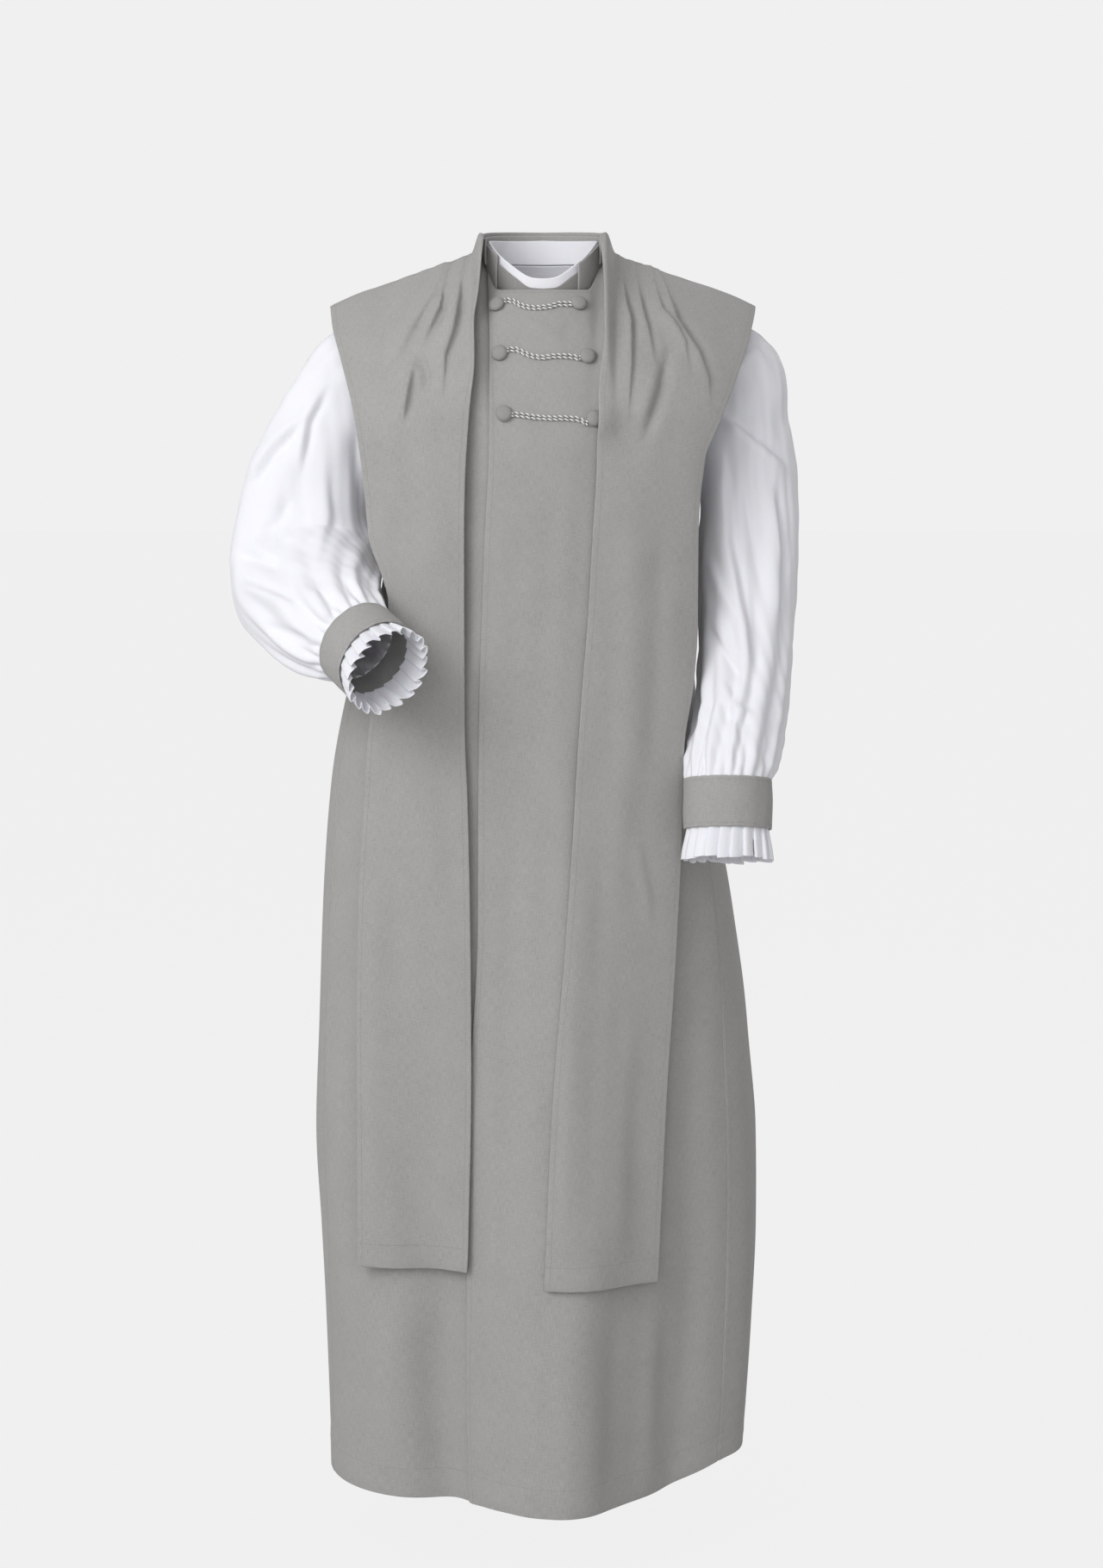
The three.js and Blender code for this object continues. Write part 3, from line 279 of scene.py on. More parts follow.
@dataclass
class ClothSheet:
    """A cloth wall made from the grid of its middle surface, with rounded edges."""

    name: str
    grid: Array
    thickness: float
    closed: bool = False
    faces_out: float = 1.0
    rounds: tuple[float, ...] = (-60.0, 0.0, 60.0)

    def layers(self) -> tuple[Array, Array, Array]:
        """Returns the outer grid, the inner grid and the outward normals."""
        normal = normals_of(self.grid, self.closed) * self.faces_out
        half = normal * self.thickness / 2
        return self.grid + half, self.grid - half, normal

    def rim(self, normal: Array) -> list[tuple[Array, Array]]:
        """Finds the boundary loop of the grid and the way out of the cloth along it.

        Args:
            normal: the outward normals of the grid.

        Returns:
            Pairs of vertex index and edge direction for each loop of the boundary.
        """
        rows, cols = self.grid.shape[:2]
        index = np.arange(rows * cols).reshape(rows, cols)
        g = self.grid
        if self.closed:
            loops = [(index[0], g[0] - g[1]), (index[-1][::-1], (g[-1] - g[-2])[::-1])]
        else:
            path = [
                (index[0, :-1], g[0, :-1] - g[1, :-1]),
                (index[:-1, -1], g[:-1, -1] - g[:-1, -2]),
                (index[-1, :0:-1], g[-1, :0:-1] - g[-2, :0:-1]),
                (index[:0:-1, 0], g[:0:-1, 0] - g[:0:-1, 1]),
            ]
            loops = [tuple(np.concatenate([part[k] for part in path]) for k in range(2))]
        return [(ids, unit(away)) for ids, away in loops]

    def build(self) -> bpy.types.Object:
        """Makes the closed mesh with its cloth-length UV map.

        Returns:
            The new object, linked to the scene, in metres.
        """
        outer, inner, normal = self.layers()
        rows, cols = self.grid.shape[:2]
        count = rows * cols
        points = [outer.reshape(-1, 3), inner.reshape(-1, 3)]
        index = np.arange(count).reshape(rows, cols)
        right = np.roll(index, -1, axis=1) if self.closed else index[:, 1:]
        left = index if self.closed else index[:, :-1]
        a, b, c, d = left[:-1], left[1:], right[1:], right[:-1]
        quads = np.stack([a, b, c, d], axis=-1).reshape(-1, 4)
        faces = [quads, quads[:, ::-1] + count]
        flat_normal = normal.reshape(-1, 3)
        middle = self.grid.reshape(-1, 3)
        used = 2 * count
        origin = [np.arange(count), np.arange(count)]
        for ids, away in self.rim(normal):
            rings = [ids]
            for turn in self.rounds:
                angle = math.radians(turn)
                place = (
                    middle[ids]
                    - flat_normal[ids] * math.sin(angle) * self.thickness / 2
                    + away * math.cos(angle) * self.thickness / 2
                )
                points.append(place)
                origin.append(ids)
                rings.append(np.arange(used, used + len(ids)))
                used += len(ids)
            rings.append(ids + count)
            for near, far in zip(rings, rings[1:]):
                nxt, far_next = np.roll(near, -1), np.roll(far, -1)
                faces.append(np.stack([near, nxt, far_next, far], axis=-1))
        everything = np.concatenate(points) * MM
        mesh = bpy.data.meshes.new(self.name)
        quad = np.concatenate(faces)
        if self.signed_volume(everything, quad) < 0:
            quad = quad[:, ::-1]
        mesh.from_pydata(everything.tolist(), [], quad.tolist())
        self.lay_uv(mesh, np.concatenate(origin))
        mesh.shade_smooth()
        return placed(self.name, mesh)

    @staticmethod
    def signed_volume(points: Array, quads: Array) -> float:
        """Returns the volume inside the faces, negative where they point inwards."""
        a, b, c, d = (points[quads[:, i]] for i in range(4))
        one = np.einsum("ij,ij->i", a, np.cross(b, c))
        two = np.einsum("ij,ij->i", a, np.cross(c, d))
        return float(one.sum() + two.sum())

    def lay_uv(self, mesh: bpy.types.Mesh, origin: Array) -> None:
        """Gives every corner its place along the cloth in metres.

        Args:
            mesh: the mesh just made.
            origin: the grid point that each vertex came from.
        """
        steps = np.linalg.norm(np.diff(self.grid, axis=1), axis=2).mean(axis=0)
        across = np.concatenate([[0], np.cumsum(steps)])
        falls = np.linalg.norm(np.diff(self.grid, axis=0), axis=2).mean(axis=1)
        along = np.concatenate([[0], np.cumsum(falls)])
        place = np.stack(np.meshgrid(across, -along), -1).reshape(-1, 2)[origin] * MM
        layer = mesh.uv_layers.new(name="cloth")
        corner = np.empty(len(mesh.loops), dtype=np.int32)
        mesh.loops.foreach_get("vertex_index", corner)
        layer.data.foreach_set("uv", place[corner].astype(np.float32).reshape(-1))


# ================= the hollow form =================


@dataclass
class HollowForm:
    """The general figure's hollow: half-widths, depths, shoulders, seams and body folds."""

    power: float = 2.4
    hem: float = -1293.0
    underarm: float = -255.0
    shoulder_round: float = 165.0
    # height, right half-width, left half-width, front depth, back depth, outer extra, cape extra
    sections: tuple[tuple[float, ...], ...] = (
        (30, 188, 188, 116, 92, 84, 84),
        (-100, 188, 188, 124, 98, 80, 78),
        (-150, 184, 183, 129, 100, 77, 60),
        (-185, 177, 174, 132, 101, 76, 28),
        (-215, 168, 163, 134, 102, 74, 5),
        (-255, 162, 157, 135, 103, 72, 0),
        (-340, 171, 156, 135, 106, 64, 0),
        (-450, 208, 162, 137, 114, 38, 0),
        (-550, 226, 178, 140, 124, 24, 0),
        (-690, 236, 205, 145, 136, 20, 0),
        (-810, 241, 220, 148, 145, 18, 0),
        (-915, 244, 229, 150, 151, 18, 0),
        (-1020, 240, 230, 152, 156, 18, 0),
        (-1130, 235, 226, 154, 160, 18, 0),
        (-1300, 231, 214, 156, 165, 18, 0),
    )
    # half-width, height of the shoulder seam
    shoulder: tuple[tuple[float, float], ...] = (
        (56, 9), (66, 4), (80, -3), (120, -17), (160, -31), (200, -46), (222, -57),
    )
    # angle round the form, width in degrees, height out at the hem, height it starts from
    folds: tuple[tuple[float, float, float, float], ...] = (
        (4, 15, 40, -380), (-23, 13, -22, -560), (38, 14, -12, -600), (66, 12, 8, -620),
        (96, 10, -9, -560), (122, 13, 14, -420), (141, 10, -12, -420), (160, 12, 15, -300),
        (180, 11, -14, -330), (201, 12, 14, -300), (221, 11, -13, -430),
        (240, 13, 13, -440), (263, 11, -9, -560),
    )

    def __post_init__(self) -> None:
        """Turns the tables into curves."""
        names = ("right", "left", "front", "back", "outer", "cape")
        self.track = {n: columns(self.sections, 0, i + 1) for i, n in enumerate(names)}
        self.shoulder_track = columns(self.shoulder, 0, 1)

    def shoulder_height(self, x: Array) -> Array:
        """Returns the height of the shoulder seam at x."""
        return self.shoulder_track(np.abs(x))

    def half_width(self, x: Array, z: Array, layer: Layer) -> Array:
        """Returns the half-width on x's side at height z."""
        half = np.where(np.asarray(x) < 0, self.track["right"](z), self.track["left"](z))
        return half if layer is Layer.BODY else half + self.track[layer.value](z)

    def fold_out(self, angle: Array, z: Array) -> Array:
        """Adds up the gown's soft folds at an angle and height."""
        total = np.zeros(np.broadcast(angle, z).shape)
        for place, width, height, start in self.folds:
            grown_in = height * smooth((start - z) / (start - self.hem))
            total += grown_in * bump(wrapped(angle - place), width)
        return total

    def sine(self, angle: Array) -> Array:
        """Returns the section's share of the half-width at an angle."""
        value = np.sin(np.radians(angle))
        return np.sign(value) * np.abs(value) ** (2 / self.power)

    def angle_at(self, x: Array, z: Array, layer: Layer) -> Array:
        """Returns the angle, in front, where the section is x wide."""
        share = np.minimum(1, np.abs(x) / self.half_width(x, z, layer))
        return np.sign(x) * np.degrees(np.arcsin(share ** (self.power / 2)))

    def point(
        self, angle: Array, z: Array, z_top: Array, top_depth: Array, offset: Array,
        layer: Layer, relief: Array | float = 0.0, rounding: float | None = None,
    ) -> Array:
        """Finds points of a layer of cloth.

        Args:
            angle: where round the section, 0 in front and +90 on the wearer's left.
            z: height.
            z_top: height of the piece's top edge there.
            top_depth: how far the top edge stands in front of or behind the shoulder line.
            offset: how far the layer stands off the form.
            layer: which half-width it follows.
            relief: pleats and the like, outwards.
            rounding: the height over which the shoulder rounds down.

        Returns:
            The points, the last axis being x, y and z.
        """
        sine = self.sine(angle)
        cosine = self.sine(90 - np.asarray(angle))
        out = offset + relief + self.fold_out(angle, z)
        x = (self.half_width(sine, z, layer) + out) * sine
        depth = np.where(cosine > 0, self.track["front"](z), self.track["back"](z))
        drop = np.clip((z_top + offset - z) / (rounding or self.shoulder_round), 0, 1)
        fall = (1 - (1 - drop) ** 2) ** 0.8
        full = (depth + out) * np.abs(cosine)
        y = -np.where(cosine < 0, -1, 1) * lerp(top_depth, full, fall)
        return np.stack([x, y, z + relief * (1 - fall)], axis=-1)


def no_lift(x: Array, z: Array) -> Array:
    """Returns no lift anywhere; z has the shape of x."""
    return np.zeros(np.shape(x))


@dataclass
class Panel:
    """A panel of cloth on the form, between two edges given as angles over the height."""

    form: HollowForm
    name: str
    layer: Layer
    start: Callable[[Array], Array]
    end: Callable[[Array], Array]
    top: Callable[[Array], Array]
    top_depth: Field
    offset: Field
    hem: Callable[[Array], Array]
    rows: tuple[int, int]
    across: int
    underarm: float
    thickness: float
    relief: Field = field(default=no_lift)
    surface: Field = field(default=no_lift)
    lean: Field = field(default=no_lift)
    rounding: float | None = None
    evenness: float = 0.65
    crowd: float = 1.12

    def row_height(self, row: Array, top: Array, hem: Array) -> Array:
        """Returns the height of each row, some above and the rest below the underarm."""
        upper, lower = self.rows
        share = row / upper
        eased = lerp(share, smooth(share), self.evenness)
        above = lerp(top, self.underarm, eased)
        rest = np.clip((row - upper) / lower, 0, 1) ** self.crowd
        return np.where(row <= upper, above, lerp(self.underarm, hem, rest))

    def grid(self) -> Array:
        """Works out the middle surface of the panel.

        Returns:
            Rows by columns by 3, in mm.
        """
        upper, lower = self.rows
        row = np.arange(upper + lower + 1)[:, None] * np.ones((1, self.across + 1))
        share = np.ones((upper + lower + 1, 1)) * np.linspace(0, 1, self.across + 1)[None, :]
        z = lerp(0, self.form.hem, row / (upper + lower))
        for _ in range(10):
            angle = lerp(self.start(z), self.end(z), share)
            sine = self.form.sine(angle)
            x = self.form.half_width(sine, z, self.layer) * sine
            z_top = self.top(x)
            z = self.row_height(row, z_top + self.offset(x, z_top), self.hem(angle))
        middle = self.thickness / 2
        offset = self.offset(x, z) + middle
        lifted = z + middle * np.clip(1 - row / upper, 0, 1) ** 6
        points = self.form.point(
            angle, lifted, z_top, self.top_depth(x, offset), offset,
            self.layer, self.relief(x, z), self.rounding,
        )
        points[..., 0] += self.lean(x, z)
        return points + normals_of(points, False) * self.surface(x, z)[..., None]

    def sheet(self) -> ClothSheet:
        """Returns the panel as a wall of cloth."""
        return ClothSheet(self.name, self.grid(), self.thickness)


# ================= the gown =================


def arc_inset(grid: Array, normal: Array, edge: str, inset: float, lift: float) -> Array:
    """Finds a line that runs beside an edge of a grid, on the cloth's outside.

    Args:
        grid: the middle surface, rows by columns by 3.
        normal: its outward normals.
        edge: left, right, top or bottom.
        inset: distance from the edge in mm.
        lift: distance outside the middle surface in mm.

    Returns:
        The line's points in mm.
    """
    if edge in ("top", "bottom"):
        grid, normal = grid.transpose(1, 0, 2), normal.transpose(1, 0, 2)
    if edge in ("right", "bottom"):
        grid, normal = grid[:, ::-1], normal[:, ::-1]
    steps = np.linalg.norm(np.diff(grid, axis=1), axis=2)
    reach = np.concatenate([np.zeros((len(grid), 1)), np.cumsum(steps, axis=1)], axis=1)
    line = []
    for row, distance, out in zip(grid, reach, normal):
        k = int(np.clip(np.searchsorted(distance, inset), 1, len(row) - 1))
        t = (inset - distance[k - 1]) / max(distance[k] - distance[k - 1], 1e-9)
        line.append(lerp(row[k - 1], row[k], t) + out[k] * lift)
    return np.array(line)


@dataclass
class Piece:
    """A finished piece: its object, the nodes it stands for, its slot, flat size, how it is held,
    what it rests on and its area.
    """

    made: bpy.types.Object
    nodes: tuple[str, ...]
    slot: str
    flat: tuple[float, float] | None = None
    held: str = "hung"
    rests_on: tuple[str, ...] = ()
    area: float | None = None

    def declare(self) -> None:
        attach(self.made, "root")
        if self.nodes:
            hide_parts(*self.nodes)
        LOG.info("%s: %d faces", self.made.name, len(self.made.data.polygons))


def flat_area(sheet: ClothSheet) -> float:
    """Returns the cloth's area in square metres, from its middle surface."""
    g = sheet.grid if not sheet.closed else np.concatenate([sheet.grid, sheet.grid[:, :1]], 1)
    a, b = g[1:, :-1] - g[:-1, :-1], g[:-1, 1:] - g[:-1, :-1]
    c, d = g[:-1, 1:] - g[1:, 1:], g[1:, :-1] - g[1:, 1:]
    area = np.linalg.norm(np.cross(a, b), axis=2) + np.linalg.norm(np.cross(c, d), axis=2)
    return float(area.sum() / 2) * MM * MM


def finished(
    sheet: ClothSheet, node: str, slot: str, material: bpy.types.Material,
    flat: tuple[float, float], held: str, rests_on: tuple[str, ...] = (),
) -> Piece:
    """Builds a sheet's mesh, dresses it and wraps it as a piece that stands for its node."""
    made = sheet.build()
    made.data.materials.append(material)
    area = min(flat_area(sheet), flat[0] * flat[1])
    return Piece(made, (node,), slot, flat, held, rests_on, area)


@dataclass
class GownBody:
    """The overlapping gown: back, wearer's right front under, wearer's left front over."""

    form: HollowForm
    cloth: bpy.types.Material
    thickness: float = 2.0
    under_offset: float = -2.0
    over_offset: float = 2.4
    outer_offset: float = 7.4
    seam_gap: float = 0.4
    armhole_turn: float = 30.0
    back_turn: float = 60.0
    neck_z: float = -34.0
    neck_depth: float = 65.0
    neck_wrap: float = 0.3
    # half-width where a front's neck edge starts to rise, and where it meets the shoulder
    under_neck: tuple[float, float] = (43, 66)
    over_neck: tuple[float, float] = (45, 67)
    # half-width and depth of the back's neck edge
    back_neck: tuple[float, float] = (63.2, 64.2)
    # height, share of the half-width at the side seams: wearer's right, wearer's left
    side_seam: tuple[tuple[float, ...], ...] = (
        (-200, 0.985, 0.985), (-330, 0.96, 0.96), (-460, 0.95, 0.93),
        (-740, 0.95, 0.875), (-930, 0.945, 0.845), (-1300, 0.97, 0.85),
    )
    # height, half-width of the armhole edges: gown's fronts, gown's back, rochet
    armhole: tuple[tuple[float, ...], ...] = (
        (-20, 168, 218, 160), (-60, 164, 215, 156), (-110, 158, 205, 151),
        (-160, 156, 184, 149), (-205, 154, 156, 150), (-240, 154, 148, 152),
    )
    # height, x of the over front's free edge
    free_edge: tuple[tuple[float, float], ...] = (
        (0, -57), (-90, -53), (-190, -53), (-297, -58), (-488, -64), (-681, -65),
        (-836, -73), (-1043, -79), (-1200, -82), (-1300, -78),
    )
    # angle, hem height above the lowest: wearer's left side, then right side
    hem_left: tuple[tuple[float, float], ...] = (
        (0, 0), (30, 8), (60, 34), (90, 46), (180, 20),
    )
    hem_right: tuple[tuple[float, float], ...] = ((0, 0), (60, 3), (110, 12), (180, 20))
    back_pleats: tuple[float, ...] = (44, 62, 80, 98, 116)
    front_creases: tuple[Crease, ...] = (
        Crease(((-22, -58), (-4, -68), (22, -86)), 1.3, 9, 0.7),
        Crease(((-24, -112), (6, -128), (34, -136)), 0.8, 11),
        Crease(((30, -60), (22, -84)), -0.9, 8),
        Crease(((-30, -190), (4, -208), (40, -214)), 0.7, 14),
        Crease(((12, -420), (20, -620), (14, -900)), 2.2, 26),
        Crease(((-34, -520), (-30, -760), (-40, -1010)), -2.0, 22),
        Crease(((-52, -700), (-50, -1010), (-58, -1290)), 1.8, 17),
        Crease(((60, -1060), (66, -1200), (70, -1300)), -3.0, 30),
        Crease(((108, -1080), (112, -1200), (116, -1300)), 2.6, 24),
        Crease(((150, -560), (152, -820), (160, -1180)), -2.2, 20),
    )
    under_creases: tuple[Crease, ...] = (
        Crease(((-118, -330), (-112, -560), (-120, -900)), 2.0, 20),
        Crease(((-200, -520), (-206, -760), (-204, -1080)), -3.4, 20),
        Crease(((-208, -760), (-214, -980), (-210, -1230)), 2.6, 16),
        Crease(((-128, -1090), (-126, -1200), (-122, -1300)), -3.0, 22),
        Crease(((-96, -1080), (-98, -1200), (-96, -1300)), 2.0, 16),
        Crease(((-164, -1060), (-166, -1180), (-168, -1290)), 2.8, 22),
    )
    back_creases: tuple[Crease, ...] = (
        Crease(((-30, -60), (-34, -180), (-30, -330)), 3.0, 16),
        Crease(((24, -40), (30, -160), (22, -300)), -3.0, 16),
        Crease(((-120, -300), (-124, -560), (-130, -1000)), 5.7, 24),
        Crease(((-70, -360), (-74, -700), (-80, -1290)), -6.5, 22),
        Crease(((-18, -300), (-16, -700), (-20, -1290)), 6.1, 20),
        Crease(((42, -380), (44, -720), (40, -1290)), -5.7, 22),
        Crease(((96, -340), (100, -640), (108, -1290)), 6.5, 24),
        Crease(((150, -460), (160, -800), (168, -1280)), -5.7, 20),
        Crease(((-172, -520), (-182, -900), (-186, -1280)), 4.9, 20),
    )

    def __post_init__(self) -> None:
        """Turns the tables into curves."""
        self.seam = {s: columns(self.side_seam, 0, i) for i, s in enumerate(Side, start=1)}
        names = ("front", "back", "rochet")
        self.arm = {n: columns(self.armhole, 0, i + 1) for i, n in enumerate(names)}
        self.edge = columns(self.free_edge, 0, 1)
        self.hems = (columns(self.hem_right, 0, 1), columns(self.hem_left, 0, 1))

    def hem(self, angle: Array) -> Array:
        """Returns the hem's height at an angle round the form."""
        turned = wrapped(np.asarray(angle))
        rise = np.where(turned > 0, self.hems[1](np.abs(turned)), self.hems[0](np.abs(turned)))
        return self.form.hem + rise

    def body_edge(self, side: Side, which: str, z: Array, underarm: float) -> Array:
        """Returns x where a body panel ends: armhole above the underarm, side seam below."""
        seam = self.seam[side](z) * self.form.half_width(side.value, z, Layer.BODY)
        arm = np.minimum(self.arm[which](z), seam)
        swung = lerp(seam, arm, smooth((z - underarm) / self.armhole_turn))
        return side.value * np.where(z <= underarm, seam, swung)

    def gap_angle(self, z: Array) -> Array:
        """Returns half a seam's gap as an angle round the form."""
        return self.seam_gap / 2 / self.form.half_width(1, z, Layer.BODY) * (180 / math.pi) * 2.2

    def side_angle(self, side: Side, z: Array) -> Array:
        """Returns the angle of a front's outer edge."""
        edge = self.body_edge(side, "front", z, self.form.underarm)
        return self.form.angle_at(edge, z, Layer.BODY)

    def neck_top(self, x: Array, flat: float, half: float, lower: float) -> Array:
        """Returns the top edge's height: level before the neck, rising to the shoulder."""
        rise = smooth((np.abs(x) - flat) / (half - flat))
        z = lerp(self.neck_z - lower, self.form.shoulder_height(half), rise)
        return np.where(np.abs(x) < half, z, self.form.shoulder_height(x))

    def neck_reach(self, x: Array, offset: Array, flat: float, half: float) -> Array:
        """Returns how far before the shoulder line the top edge stands."""
        turn = smooth((np.abs(x) - flat) / (half - flat))
        wrap = 1 - self.neck_wrap * np.minimum(1, np.abs(x) / half) ** 2
        return (self.neck_depth * wrap + offset) * (1 - turn) + self.seam_gap / 2

    def turned_hem(self, bottom: float, width: float = 30.0) -> Field:
        """Returns the slight step where the hem is turned up and stitched."""

        def step(x: Array, z: Array) -> Array:
            """Lifts the cloth by half a layer below the hem's stitching, with small puckers."""
            height = z - bottom
            puckers = 0.12 * np.sin(x * 0.34 + np.sin(x * 0.071) * 2) * bump(height - width, 7)
            return 0.45 * smooth((width - height) / 2.5) + puckers

        return step

    def fronts(self) -> tuple[Panel, Panel]:
        """Returns the under front and the over front."""
        form, off = self.form, self.under_offset

        def surface(creases: Sequence[Crease], seed: int) -> Field:
            """Joins creases, the turned hem and a slow unevenness that ends at the neck."""
            folds, hem = relief_of(creases), self.turned_hem(form.hem + 4)

            def lift(x: Array, z: Array) -> Array:
                """Returns how far out the cloth stands at x and z."""
                uneven = 0.55 * wander(x, z * 0.35, seed, 60) * smooth((-60 - z) / 120)
                return folds(x, z) + hem(x, z) + uneven

            return lift

        shared = {
            "form": form, "layer": Layer.BODY, "hem": self.hem, "rows": (44, 104),
            "underarm": form.underarm, "thickness": self.thickness,
        }
        under = Panel(
            name="gown_front_right", across=64,
            start=lambda z: self.side_angle(Side.RIGHT, z) + self.gap_angle(z),
            end=lambda z: form.angle_at(52 + 0 * z, z, Layer.BODY),
            top=lambda x: self.neck_top(x, *self.under_neck, 4),
            top_depth=lambda x, o: self.neck_reach(x, o, *self.under_neck),
            offset=lambda x, z: off + 0 * x, surface=surface(self.under_creases, 3), **shared,
        )
        over = Panel(
            name="gown_front_left", across=92,
            start=lambda z: form.angle_at(self.edge(z), z, Layer.BODY),
            end=lambda z: self.side_angle(Side.LEFT, z) - self.gap_angle(z),
            top=lambda x: self.neck_top(x, *self.over_neck, 0),
            top_depth=lambda x, o: self.neck_reach(x, o, *self.over_neck),
            offset=lambda x, z: lerp(self.over_offset, off, smooth((x - 70) / 60)),
            surface=surface(self.front_creases, 5), **shared,
        )
        return under, over

    def pleats(self) -> tuple[Crease, ...]:
        """Returns the back's pleats, fanning out from the shoulders and the collar."""
        made = []
        for sign in (-1, 1):
            for i, top in enumerate(self.back_pleats):
                foot, low = top * 1.42, -262.0 - 14 * (i % 2)
                way = ((top, 12.0), (lerp(top, foot, 0.5), -120.0), (foot, low))
                line = tuple((sign * x, z) for x, z in way)
                made.append(Crease(line, 6.2, 13, 0.2 if sign > 0 else 0.9, 1.2))
        return tuple(made)

    def back(self) -> Panel:
        """Returns the back, from the shoulder seams to the hem."""
        form = self.form
        half, deep = self.back_neck

        def edge(side: Side, z: Array) -> Array:
            """Returns the back's edge as an angle: side seam below, armhole above."""
            low = np.minimum(z, form.underarm)
            seam = form.angle_at(self.body_edge(side, "back", low, form.underarm), low, Layer.BODY)
            arm = 180 - np.abs(form.angle_at(self.arm["back"](z), z, Layer.CAPE))
            return lerp(seam, side.value * arm, smooth((z - form.underarm) / self.back_turn))

        def top(x: Array) -> Array:
            """Returns the top edge: level behind the neck, then the shoulder seam."""
            shoulder = form.shoulder_height(x)
            return np.where(np.abs(x) < half, form.shoulder_height(half), shoulder)

        def opened(x: Array, z: Array) -> Array:
            """Returns how far the pleats have opened below the shoulder seam."""
            return lerp(0.1, 1.0, smooth((form.shoulder_height(x) - z) / 40))

        def curve(x: Array) -> Array:
            """Returns how far behind the shoulder line the top edge stands."""
            return deep * np.sqrt(np.maximum(0, 1 - (x / half) ** 2)) + self.seam_gap / 2

        pleats, folds = relief_of(self.pleats()), relief_of(self.back_creases)
        hem = self.turned_hem(form.hem + 20)
        return Panel(
            form=form, name="gown_back", layer=Layer.CAPE, across=176, rows=(56, 104),
            start=lambda z: edge(Side.LEFT, z) + self.gap_angle(z),
            end=lambda z: 360 + edge(Side.RIGHT, z) - self.gap_angle(z),
            top=top, top_depth=lambda x, o: curve(x),
            offset=lambda x, z: lerp(self.under_offset, self.outer_offset, smooth((z + 160) / 110)),
            hem=self.hem, underarm=form.underarm, thickness=self.thickness,
            relief=lambda x, z: pleats(x, z) * opened(x, z),
            surface=lambda x, z: folds(x, z) + hem(x, z) + 0.6 * wander(x, z * 0.35, 9, 70),
        )

    def pieces(self) -> tuple[list[Piece], dict[str, ClothSheet]]:
        """Builds and dresses the three panels.

        Returns:
            The pieces and the sheets they were made from, by name.
        """
        under, over = self.fronts()
        sheets = {p.name: p.sheet() for p in (under, over, self.back())}
        facts = {
            "gown_front_right": ("chimere_front_right", (0.42, 1.36)),
            "gown_front_left": ("chimere_front_left", (0.48, 1.36)),
            "gown_back": ("chimere_back", (0.86, 1.42)),
        }
        made = [
            finished(sheets[name], node, "grey_cloth", self.cloth, flat, "hung")
            for name, (node, flat) in facts.items()
        ]
        return made, sheets


